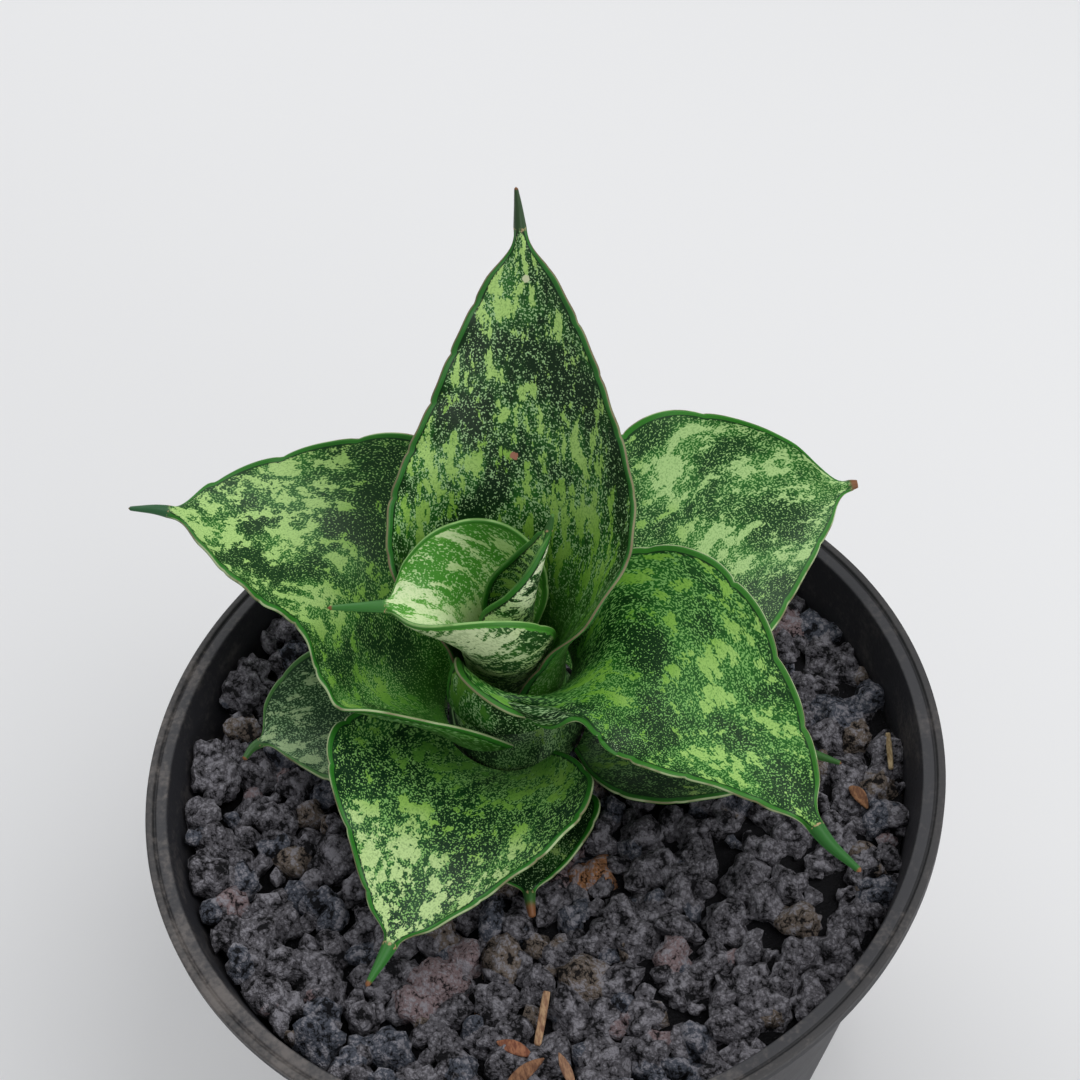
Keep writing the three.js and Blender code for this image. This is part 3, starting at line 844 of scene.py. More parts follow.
    def open_out(self, leaf: Leaf, points: np.ndarray) -> np.ndarray:
        """Bends a sheath's wall outward over one side of the stem, so that it lies as a collar.

        Args:
            leaf: The leaf.
            points: Points of the leaf.

        Returns:
            The points where they come to lie.
        """
        if leaf.collar is None:
            return points
        radius, height, opening, toward, spread = leaf.collar
        dx, dy = points[..., 0] - self.stem[0], points[..., 1] - self.stem[1]
        out = np.hypot(dx, dy)
        away = np.abs((np.degrees(np.arctan2(dy, dx)) - toward + 540) % 360 - 180)
        full = math.radians(opening) * smooth((spread - away) / self.collar_fade)
        full = full * smooth(2 - 2 * out / self.collar_reach)
        rise = points[..., 2] - self.soil - height
        bent = np.clip(rise, 0, self.collar_bend)
        safe = np.maximum(full, 1e-6)
        angle = safe * bent / self.collar_bend
        bend = self.collar_bend / safe
        offset = out - radius
        beyond = self.collar_share * (rise - bent)
        reach = radius + bend * (1 - np.cos(angle)) + beyond * np.sin(safe) + offset * np.cos(angle)
        up = bend * np.sin(angle) + beyond * np.cos(safe) - offset * np.sin(angle)
        moved = np.stack([
            self.stem[0] + dx / out * reach,
            self.stem[1] + dy / out * reach,
            self.soil + height + up,
        ], -1)
        return np.where(((rise > 0) & (full > 1e-6))[..., None], moved, points)

    def faces(self, rows: int, ring: int) -> list[Sequence[int]]:
        """Lists the faces of a leaf's closed skin.

        Args:
            rows: The rings of points along the leaf.
            ring: The points on each, over the face, round a margin, under the back and round the other.

        Returns:
            The faces as point numbers, where the last point is the tip.
        """
        faces: list[Sequence[int]] = []
        for i in range(rows - 1):
            for k in range(ring):
                n = (k + 1) % ring
                faces.append((i * ring + k, i * ring + n, (i + 1) * ring + n, (i + 1) * ring + k))
        last = self.across - 1
        low = [last + self.cap_steps + self.across - k for k in range(self.across)]
        faces += [(k, low[k], low[k + 1], k + 1) for k in range(last)]
        faces.append([last, low[-1], *range(last + self.cap_steps, last, -1)])
        faces.append([low[0], 0, *range(ring - 1, ring - self.cap_steps - 1, -1)])
        end = (rows - 1) * ring
        return faces + [(end + k, end + (k + 1) % ring, rows * ring) for k in range(ring)]

    def blade(self, leaf: Leaf) -> Object:
        """Builds a leaf as a closed skin with rounded margins, with what its pattern needs on its points.

        Args:
            leaf: The leaf.

        Returns:
            The leaf's object.
        """
        # s is 1 at the left margin and -1 at the right, with its points crowded towards both
        course = self.course(leaf)
        u, v = course["u"][:, None], course["v"][:, None]
        s = np.sin(np.linspace(math.pi / 2, -math.pi / 2, self.across))[None, :]
        wrap = np.radians(along(leaf.wrap, u))
        half = np.maximum(along(leaf.half, u), leaf.awl[3] * 0.6)
        left, left_place = self.lobe(leaf, u, 1)
        right, right_place = self.lobe(leaf, u, -1)
        lobed = np.where(s > 0, left, right) * np.abs(s) ** 3
        place = np.where(s > 0, left_place, right_place)
        ripple = self.ripple * leaf.lobes[1] * np.abs(s) ** 5 * np.cos(2 * math.pi * place) * self.fade(u)
        reach = np.maximum(half - lobed - self.margin * 0.45 * np.abs(s), leaf.awl[3] * 0.5)
        arc = half / wrap
        bend = wrap * s * reach / half + along(leaf.shift, u) / arc
        middle = leaf.thickness[0] + (leaf.thickness[1] - leaf.thickness[0]) * u
        thick = self.margin + (middle - self.margin) * (1 - s**2)
        side, face = course["side"][:, None, :], course["face"][:, None, :]

        def at(across: np.ndarray, out: np.ndarray) -> np.ndarray:
            """Places that lie so far across the midrib and out of its face."""
            return side * across[..., None] + face * out[..., None]

        normal = at(np.sin(bend), -np.cos(bend))
        top = at(arc * np.sin(bend), arc * (1 - np.cos(bend))) + normal * ripple[..., None]
        under = top + normal * thick[..., None]

        # Past the apex the section turns into the awl's round one
        ended = np.clip((v - self.blunting[0]) / self.blunting[1], 0, 1)
        blunt = np.sqrt(np.clip(1 - ended**2, 0, 1))
        radius = (leaf.awl[3] + (leaf.awl[4] - leaf.awl[3]) * v) * np.maximum(blunt, 0.02)
        turn = math.pi * (0.5 - 0.46 * s)
        half_thick = middle / 2 + 0 * s
        awl_top = at(radius * np.cos(turn), radius * np.sin(turn) - half_thick)
        awl_under = at(radius * np.cos(turn), -radius * np.sin(turn) - half_thick)
        rounding = np.where(v > 0, 1.0, smooth((u - self.apex_blend) / (1 - self.apex_blend)))[..., None]
        point = course["point"][:, None, :]
        turns = np.linspace(0, math.pi, self.cap_steps + 2)[1:-1]
        top = self.open_out(leaf, top * (1 - rounding) + awl_top * rounding + point)
        under = self.open_out(leaf, under * (1 - rounding) + awl_under * rounding + point)

        def cap(first: np.ndarray, last: np.ndarray, inner: np.ndarray) -> np.ndarray:
            """Rounds a margin off with half circles, away from the leaf's middle.

            Args:
                first: The margin's points on one face.
                last: Its points on the other.
                inner: Points further in, between the faces.

            Returns:
                The half circles' points.
            """
            centre = (first + last) / 2
            up = first - centre
            size = np.linalg.norm(up, axis=-1, keepdims=True)
            out = centre - inner
            out = out - up * (out * up).sum(-1, keepdims=True) / np.maximum(size**2, 1e-9)
            out = out / np.maximum(np.linalg.norm(out, axis=-1, keepdims=True), 1e-9) * size
            return np.stack([centre + up * math.cos(t) + out * math.sin(t) for t in turns], 1)

        right_cap = cap(top[:, -1], under[:, -1], (top[:, -2] + under[:, -2]) / 2)
        left_cap = cap(under[:, 0], top[:, 0], (top[:, 1] + under[:, 1]) / 2)
        loops = np.concatenate([top, right_cap, under[:, ::-1], left_cap], 1)
        faces = self.faces(*loops.shape[:2])
        tip = loops[-1].mean(0)
        points = np.vstack([loops.reshape(-1, 3), tip])

        # What the pattern reads on each point
        down = v * leaf.awl[0] + u * leaf.length
        shape = np.ones_like(s)
        cap_width = np.ones((1, self.cap_steps))

        def ring_of(top_values: np.ndarray, right_values: np.ndarray, left_values: np.ndarray) -> np.ndarray:
            """Values for every point, the same on both faces, with the last point at the tip."""
            whole = np.concatenate([top_values, right_values, top_values[:, ::-1], left_values], 1)
            return np.append(whole.reshape(-1), whole[-1, 0])

        sideways = ring_of(s * half, -half * cap_width, half * cap_width)
        lengthwise = ring_of(down * shape, down * cap_width, down * cap_width)
        drop = -self.margin / 2 * np.sin(turns)[None, :] * np.ones_like(u)
        edge = ring_of(half * (1 - np.abs(s)), drop, drop)
        upper = np.concatenate([shape, 0.5 * cap_width, 0 * shape, 0.5 * cap_width], 1) * np.ones_like(u)
        finish = self.skins[leaf.name].material(leaf.name, leaf.length, leaf.awl[0])
        made = mesh_object(leaf.name.replace("leaf", "blade"), points, faces, finish)
        store(made, "place", np.stack([sideways, lengthwise, 0 * sideways], -1))
        store(made, "edge", edge)
        store(made, "tip", leaf.length + leaf.awl[0] - lengthwise)
        store(made, "upper", np.append(upper.reshape(-1), 0.5))
        return made

    def build(self) -> list[Object]:
        """Builds the stem and every leaf, in place of their solids.

        Returns:
            The pieces.
        """
        steps = [(0.0, self.stem_steps[0][1]), *self.stem_steps, (0.0, self.stem_steps[-1][1])]
        profile = [(r, z + self.soil) for r, z in steps]
        stem = revolve("stem_core", profile, self.stem_sides, self.sheath.material())
        stem.data.transform(Matrix.Translation((self.stem[0] * MM, self.stem[1] * MM, 0)))
        pieces = [seat(stem, Slot.STALK, "stem")]
        return pieces + [seat(self.blade(leaf), Slot.LEAF, leaf.name) for leaf in self.leaves]


@dataclass
class Pot:
    """The round nursery pot: a tapered wall, a turned-down rim with a groove in its top, and drain slots.

    drain_width is a slot's width, drain_in how far it reaches into the foot and drain_up how far up the wall.
    Past sharp_angle degrees an edge is shaded sharp.
    """

    rim_radius: float = 80
    rim_width: float = 4.4
    rim_thickness: float = 2
    skirt_depth: float = 3.2
    skirt_wall: float = 1.5
    height: float = 120
    base_radius: float = 55
    wall: float = 1.8
    floor: float = 2.6
    heel: float = 1.5
    pad_radius: float = 20
    recess_radius: float = 44
    recess: float = 1.2
    groove_radius: float = 78.2
    groove_half: float = 0.5
    groove_depth: float = 0.6
    bead: float = 0.6
    drains: int = 8
    drain_width: float = 9
    drain_in: float = 9
    drain_up: float = 6
    sides: int = 256
    sharp_angle: float = 40

    def inner_radius(self, z: float) -> float:
        """The radius of the inner wall at a height."""
        top = self.rim_radius - self.rim_width
        return self.base_radius - self.wall + (top - self.base_radius + self.wall) * z / self.height

    def profile(self) -> list[tuple[float, float]]:
        """The wall's section, from the base's centre up the outside and down the inside.

        Returns:
            Radius and height of each point.
        """
        top, lip = self.height, self.rim_radius
        under, ledge = top - self.rim_thickness, top - self.bead / 2
        corners = [
            (0, 0), (self.pad_radius, 0), (self.pad_radius + self.recess, self.recess),
            (self.recess_radius, self.recess), (self.recess_radius + self.recess, 0),
            (self.base_radius - self.heel, 0), (self.base_radius, self.heel),
            (self.inner_radius(under) + self.wall, under), (lip - self.skirt_wall, under),
            (lip - self.skirt_wall, top - self.skirt_depth), (lip, top - self.skirt_depth), (lip, top),
            (self.groove_radius + self.groove_half, top), (self.groove_radius, top - self.groove_depth),
            (self.groove_radius - self.groove_half, ledge), (self.inner_radius(top), ledge),
            (self.inner_radius(self.floor), self.floor), (0, self.floor),
        ]
        return self.rounded(corners)

    @staticmethod
    def rounded(
        corners: Sequence[tuple[float, float]], radius: float = 0.45, steps: int = 3
    ) -> list[tuple[float, float]]:
        """Rounds off the corners of a profile.

        Args:
            corners: The profile's corners.
            radius: How far from a corner its rounding starts, at most a third of either side.
            steps: The number of points on each rounding, less one.

        Returns:
            The rounded profile.
        """
        out = [corners[0]]
        for before, corner, after in zip(corners, corners[1:], corners[2:]):
            b, c, a = (np.array(p, float) for p in (before, corner, after))
            reach = min(radius, np.linalg.norm(b - c) / 3, np.linalg.norm(a - c) / 3)
            first = c + (b - c) / np.linalg.norm(b - c) * reach
            last = c + (a - c) / np.linalg.norm(a - c) * reach
            for t in np.linspace(0, 1, steps + 1):
                spot = first * (1 - t) ** 2 + c * 2 * t * (1 - t) + last * t**2
                out.append((float(spot[0]), float(spot[1])))
        return [*out, corners[-1]]

    def build(self) -> list[Object]:
        """Builds the pot in place of its solid.

        Returns:
            The pot, as the only piece.
        """
        finish = PotPlastic().material(self.height, self.groove_radius, self.inner_radius(self.height))
        body = revolve("pot_raw", self.profile(), self.sides, finish)
        slots = bmesh.new()
        size = Vector((2 * self.drain_in, self.drain_width, 2 * self.drain_up)) * MM
        place = Matrix.Translation(((self.base_radius + self.drain_in / 4) * MM, 0, 0))
        for i in range(self.drains):
            turn = Matrix.Rotation(2 * math.pi * i / self.drains, 4, "Z")
            bmesh.ops.create_cube(slots, size=1, matrix=turn @ place @ Matrix.Diagonal((*size, 1)))
        pot = carved(body, slots, "nursery_pot")
        pot.data.set_sharp_from_angle(angle=math.radians(self.sharp_angle))
        return [seat(pot, Slot.POT, "pot")]


class GrainSize(Enum):
    """The two sizes of lava grain: lattice spacing and radius in millimetres, and the faces' fineness."""

    LUMP = (8.4, 4.5, 3)
    CHIP = (5.6, 2.8, 2)


@dataclass
class GravelBed:
    """Black lava gravel that fills the pot: grains on a jittered lattice over a plain body.

    The grains' tops lie up to grain_rise below the soil's level, which falls by slope to the right, and heap
    millimetres higher at the wall on the left. The heap starts heap_from from the axis and heap_side to the
    left of it, and is full heap_over further out and heap_side further left. Each grain is sunk by a share of
    its radius, and chip_rise is how much of a lump's rise a chip has. growth and rises are the least of a
    grain's size and of its rise and what chance adds, as shares, and jitter is a share of the lattice's step.

    lump and knob are the size and depth of the swellings on a grain. clear is the body's gap to the wall,
    body_drop how far its top lies below the soil's level, and stem_hole the radius of its hole.
    """

    pot: Pot
    stem: tuple[float, float] = (-3, 15)
    stem_hole: float = 9.3
    soil: float = 110
    grain_rise: float = 3.6
    jitter: float = 0.3
    slope: float = 0.02
    heap: float = 4.6
    heap_from: float = 62
    heap_over: float = 9
    heap_side: float = 25
    sunk: float = 0.86
    chip_rise: float = 0.55
    growth: tuple[float, float] = (0.7, 0.5)
    rises: tuple[float, float] = (0.55, 0.45)
    lump: tuple[float, float] = (4.2, 3.4)
    knob: tuple[float, float] = (2.1, 1.9)
    seed: int = 11
    clear: float = 0.4
    body_drop: float = 5.5
    body_sides: int = 128
    drill_sides: int = 64
    drill_depth: float = 48.6

    def numbers(self) -> Callable[[], float]:
        """Starts a seeded stream of numbers from 0 to 1.

        Returns:
            A function that draws the next number.
        """
        state = self.seed

        def draw() -> float:
            """The next number."""
            nonlocal state
            state = (state * 1664525 + 1013904223) % 2**32
            return state / 2**32

        return draw

    def scatter(self, size: GrainSize) -> tuple[np.ndarray, np.ndarray]:
        """Places grains of one size, lumps where the solid's relief has them.

        Args:
            size: The grain size.

        Returns:
            The centres and the radii, in millimetres.
        """
        step, radius, _ = size.value
        draw, is_lump = self.numbers(), size is GrainSize.LUMP
        row = step * math.sin(math.radians(60))
        # A grain's middle stays 0.6 of its radius inside this, and the nodes press in what passes the wall
        limit = self.pot.inner_radius(self.soil - 3) - 0.3
        centres, radii = [], []
        for j in range(-math.ceil(limit / row), int(limit / row) + 1):
            for i in range(-math.ceil(limit / step), int(limit / step) + 1):
                x = (i + (j & 1) / 2) * step + (draw() * 2 - 1) * self.jitter * step
                y = j * row + (draw() * 2 - 1) * self.jitter * step
                grow = radius * (self.growth[0] + self.growth[1] * draw())
                top = self.soil - self.slope * x - self.grain_rise
                rise = self.grain_rise * (self.rises[0] + self.rises[1] * draw())
                top += rise * (1 if is_lump else self.chip_rise)
                out, reach = math.hypot(x, y), limit - 0.6 * grow
                near_wall = smooth((out - self.heap_from) / self.heap_over)
                top += self.heap * near_wall * smooth((-x - self.heap_side) / self.heap_side)
                if out < reach + 0.45 * step and math.dist((x, y), self.stem) > self.stem_hole:
                    pull = min(1.0, reach / out)
                    centres.append((x * pull, y * pull, top - self.sunk * grow))
                    radii.append(grow)
        return np.array(centres), np.array(radii)

    def grain_tree(self, material: Material) -> Tree:
        """Builds the nodes that turn points into lumpy grains.

        Args:
            material: The grains' material.

        Returns:
            The node tree, with inputs for the fineness, the lumps, the knobs and the seed.
        """
        tree = bpy.data.node_groups.new("lava_grains", "GeometryNodeTree")
        node = partial(add, tree)
        for name, kind in (
            ("Geometry", "Geometry"), ("Fineness", "Int"), ("Lump Size", "Float"), ("Lump Depth", "Float"),
            ("Knob Size", "Float"), ("Knob Depth", "Float"), ("Wall Radius", "Float"), ("Seed", "Int"),
        ):
            tree.interface.new_socket(name, in_out="INPUT", socket_type=f"NodeSocket{kind}")
        tree.interface.new_socket("Grains", in_out="OUTPUT", socket_type="NodeSocketGeometry")
        source = tree.nodes.new("NodeGroupInput").outputs
        ball = node("GeometryNodeMeshIcoSphere", {"Radius": 1.0, "Subdivisions": source["Fineness"]})
        spin = {0: (0, 0, 0), 1: (math.tau,) * 3, "Seed": source["Seed"]}
        turn = node("FunctionNodeRandomValue", spin, data_type="FLOAT_VECTOR")
        radius = node("GeometryNodeInputNamedAttribute", {"Name": "radius"}, data_type="FLOAT")
        sizes = {0: (0.8, 0.8, 0.72), 1: (1.2, 1.2, 1.05), "Seed": source["Seed"]}
        squash = node("FunctionNodeRandomValue", sizes, data_type="FLOAT_VECTOR")
        scale = node("VectorMath", {0: squash, "Scale": radius}, operation="SCALE")
        parts = {"Points": source["Geometry"], "Instance": ball, "Rotation": turn, "Scale": scale}
        grains = node("GeometryNodeInstanceOnPoints", parts)
        tone = node("FunctionNodeRandomValue", {"Seed": source["Seed"]}, take=1, data_type="FLOAT")
        named = {"Geometry": grains, "Name": "grain", "Value": tone}
        grains = node("GeometryNodeStoreNamedAttribute", named, data_type="FLOAT", domain="INSTANCE")
        grains = node("GeometryNodeRealizeInstances", {"Geometry": grains})
        spot = node("GeometryNodeInputPosition")
        normal = node("GeometryNodeInputNormal")
        relief: Socket | float = 0.0
        for size, depth in (("Lump Size", "Lump Depth"), ("Knob Size", "Knob Depth")):
            scaled = node("Math", {0: 1.0, 1: source[size]}, operation="DIVIDE")
            hollow = node("TexVoronoi", {"Vector": spot, "Scale": scaled}, feature="F1")
            swell = node("Math", {0: 0.5, 1: hollow}, operation="SUBTRACT")
            relief = node("Math", {0: swell, 1: source[depth], 2: relief}, **SUM)
        offset = node("VectorMath", {0: normal, "Scale": relief}, operation="SCALE")
        shaped = node("GeometryNodeSetPosition", {"Geometry": grains, "Offset": offset})
        knob = node("Math", {0: swell, 1: 0.5}, operation="ADD")
        named = {"Geometry": shaped, "Name": "knob", "Value": knob}
        shaped = node("GeometryNodeStoreNamedAttribute", named, data_type="FLOAT", domain="POINT")
        held = node("GeometryNodeInputPosition")
        flat = node("VectorMath", {0: held, 1: (1, 1, 0)}, operation="MULTIPLY")
        out = node("VectorMath", {0: flat}, take="Value", operation="LENGTH")
        ratio = node("Math", {0: source["Wall Radius"], 1: out}, operation="DIVIDE")
        pull = node("Math", {0: ratio, 1: 1.0}, operation="MINIMUM")
        along_z = node("CombineXYZ", {0: pull, 1: pull, 2: 1.0})
        inside = node("VectorMath", {0: held, 1: along_z}, operation="MULTIPLY")
        shaped = node("GeometryNodeSetPosition", {"Geometry": shaped, "Position": inside})
        shaped = node("GeometryNodeSetShadeSmooth", {0: shaped})
        shaped = node("GeometryNodeSetMaterial", {"Geometry": shaped, "Material": material})
        node("NodeGroupOutput", {"Grains": shaped})
        return tree

    def grains(self, name: str, size: GrainSize, tree: Tree, material: Material) -> Object:
        """Makes the grains of one size.

        Args:
            name: The object's name.
            size: The grain size.
            tree: The nodes from grain_tree().
            material: The grains' material.

        Returns:
            The grains as one plain mesh object.
        """
        centres, radii = self.scatter(size)
        points = mesh_object("grain_points", centres, [], material)
        store(points, "radius", radii * MM)
        modifier = points.modifiers.new("grains", "NODES")
        modifier.node_group = tree
        wanted = {
            "Fineness": size.value[2], "Lump Size": self.lump[0] * MM, "Lump Depth": self.lump[1] * MM,
            "Knob Size": self.knob[0] * MM, "Knob Depth": self.knob[1] * MM, "Seed": self.seed,
            "Wall Radius": (self.pot.inner_radius(self.soil) - self.clear / 2) * MM,
        }
        for item in tree.interface.items_tree:
            if item.name in wanted:
                modifier[item.identifier] = wanted[item.name]
        return baked(points, name)

    def body(self, material: Material) -> Object:
        """Makes the plain body below the grains, with its hole for the stem.

        Args:
            material: The gravel's material.

        Returns:
            The body's object.
        """
        low, top = self.pot.floor + self.clear, self.soil - self.body_drop
        outer = [(self.pot.inner_radius(z) - self.clear, z) for z in np.linspace(low, top, 5)]
        body = revolve("gravel_raw", [(0, low), *outer, (0, top)], self.body_sides, material)
        drill, radius = bmesh.new(), self.stem_hole * MM
        place = Matrix.Translation((self.stem[0] * MM, self.stem[1] * MM, self.soil * MM))
        bmesh.ops.create_cone(
            drill, cap_ends=True, segments=self.drill_sides, radius1=radius, radius2=radius,
            depth=self.drill_depth * MM, matrix=place,
        )
        return carved(body, drill, "gravel_body")

    def build(self) -> list[Object]:
        """Builds the body and both sizes of grain in place of the solid.

        Returns:
            The pieces.
        """
        material = LavaRock().material()
        tree = self.grain_tree(material)
        pieces = (
            self.body(material),
            self.grains("gravel_lumps", GrainSize.LUMP, tree, material),
            self.grains("gravel_chips", GrainSize.CHIP, tree, material),
        )
        return [seat(piece, Slot.GRAVEL, "gravel") for piece in pieces]


@dataclass
class Litter:
    """The dry husks and twigs that lie loose on the gravel, made finer than their solids.

    ridges are the pitches of three waves laid over each other, in radians for a millimetre across the piece,
    and ridge_depth is how far they rise and fall.
    """

    finishes: dict[str, tuple[Fibre, str]]
    subdivisions: int = 3
    ridges: Triple = (5.1, 8.3, 2.7)
    ridge_depth: float = 0.06

    def piece(self, node: str, material: Material) -> Object:
        """Makes one husk or twig from its solid, rounded and then ridged along its length.

        Args:
            node: The solid's name.
            material: The finish.

        Returns:
            The piece's object.
        """
        mesh = bmesh.new()
        mesh.from_mesh(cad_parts[node].data)
        bmesh.ops.remove_doubles(mesh, verts=mesh.verts, dist=1e-6)
        raw = bpy.data.meshes.new(node)
        mesh.to_mesh(raw)
        mesh.free()
        rough = placed(f"{node}_raw", raw)
        round_off = rough.modifiers.new("rounding", "SUBSURF")
        round_off.levels = round_off.render_levels = self.subdivisions
        made = baked(rough, f"dry_{node}")
        low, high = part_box(node)
        run = high - low
        lean = math.atan2(run.y, run.x)
        phases = np.random.default_rng(len(node)).uniform(0, math.tau, 3)
        for vertex in made.data.vertices:
            across = (vertex.co.y * math.cos(lean) - vertex.co.x * math.sin(lean)) / MM
            ridge = sum(math.sin(across * k + p) for k, p in zip(self.ridges, phases)) / 3
            vertex.co.z += self.ridge_depth * MM * ridge
        made.data.shade_smooth()
        made.data.materials.clear()
        made.data.materials.append(material)
        return seat(made, Slot.HUSK, node)

    def build(self) -> list[Object]:
        """Builds every husk and twig in place of its solid.

        Returns:
            The pieces.
        """
        return [
            self.piece(node, finish.material(f"{name}_{node}"))
            for node, (finish, name) in self.finishes.items()
        ]


@dataclass
class Studio:
    """A pale floor, soft lights and the camera above the pot's front, slightly rolled.

    distance and target are millimetres, and elevation and roll degrees. aim is where the target falls in the
    frame, and focal the lens, both in the frame's pixels. Each lamp has its name, its place and side in
    metres, and its power in watts.
    """

    distance: float = 403
    elevation: float = 56.8
    roll: float = 10.5
    aim: tuple[float, float] = (539.2, 756.5)
    focal: float = 2000
    frame_size: float = 1080
    sensor: float = 36
    target: float = 120
    floor_half: float = 3000
    floor_colour: str = "#e9e9ea"
    sky_colour: str = "#f1f3f5"
    sky: float = 0.465
    lamps: tuple[tuple[str, Triple, float, float], ...] = (
        ("window", (-0.3, 0.8, 0.9), 0.9, 5.2),
        ("softbox", (0.5, -0.12, 0.95), 0.8, 5.0),
        ("front", (0.42, -0.85, 0.24), 0.45, 2.2),
    )

    def camera(self) -> None:
        """Places the camera so that the rim's centre falls on its place in the frame."""
        lift = math.radians(self.elevation)
        back = Vector((0, -math.cos(lift), math.sin(lift)))
        eye = back * self.distance + Vector((0, 0, self.target))
        right = Vector((1, 0, 0))
        view = Matrix((right, right.cross(-back), -back))
        middle = self.frame_size / 2
        ray = Vector((self.aim[0] - middle, middle - self.aim[1], self.focal)).normalized()
        swing = Vector((0, 0, 1)).rotation_difference(ray).to_matrix()
        rolled = Matrix.Rotation(math.radians(self.roll), 3, "Z")
        rows = swing @ rolled @ view
        turned = Matrix((rows[0], rows[1], -rows[2])).transposed()
        data = bpy.data.cameras.new("camera")
        data.sensor_width = self.sensor
        data.lens = self.focal / self.frame_size * self.sensor
        data.clip_start, data.clip_end = 0.01, 20
        camera = placed("camera", data)
        camera.matrix_world = Matrix.Translation(eye * MM) @ turned.to_4x4()
        bpy.context.scene.camera = camera

    def lamp(self, name: str, place: Triple, size: float, power: float) -> None:
        """Hangs a square soft light that points at the plant.

        Args:
            name: The light's name.
            place: Where it hangs, in metres.
            size: Its side in metres.
            power: Its power in watts.
        """
        data = bpy.data.lights.new(name, "AREA")
        data.shape, data.size, data.energy = "SQUARE", size, power
        lamp = placed(name, data)
        lamp.location = place
        away = Vector((0, 0, self.target * MM)) - Vector(place)
        lamp.rotation_euler = away.to_track_quat("-Z", "Y").to_euler()

    def build(self) -> None:
        """Builds the floor, the sky, the lights and the camera."""
        material, node = new_material("studio_paper")
        paper = {"Base Color": self.floor_colour, "Roughness": 0.9, "Specular IOR Level": 0.2}
        node("OutputMaterial", {"Surface": node("BsdfPrincipled", paper)})
        corners = np.array([(-1, -1, 0), (1, -1, 0), (1, 1, 0), (-1, 1, 0)]) * self.floor_half
        floor = mesh_object("floor", corners, [(0, 1, 2, 3)], material)
        world = bpy.data.worlds.new("soft_sky")
        world.use_nodes = True
        world.node_tree.nodes.clear()
        sky = add(world.node_tree, "Background", {"Color": self.sky_colour, "Strength": self.sky})
        add(world.node_tree, "OutputWorld", {"Surface": sky})
        bpy.context.scene.world = world
        bpy.context.scene.view_settings.view_transform = "Standard"
        for name, place, size, power in self.lamps:
            self.lamp(name, place, size, power)
        self.camera()


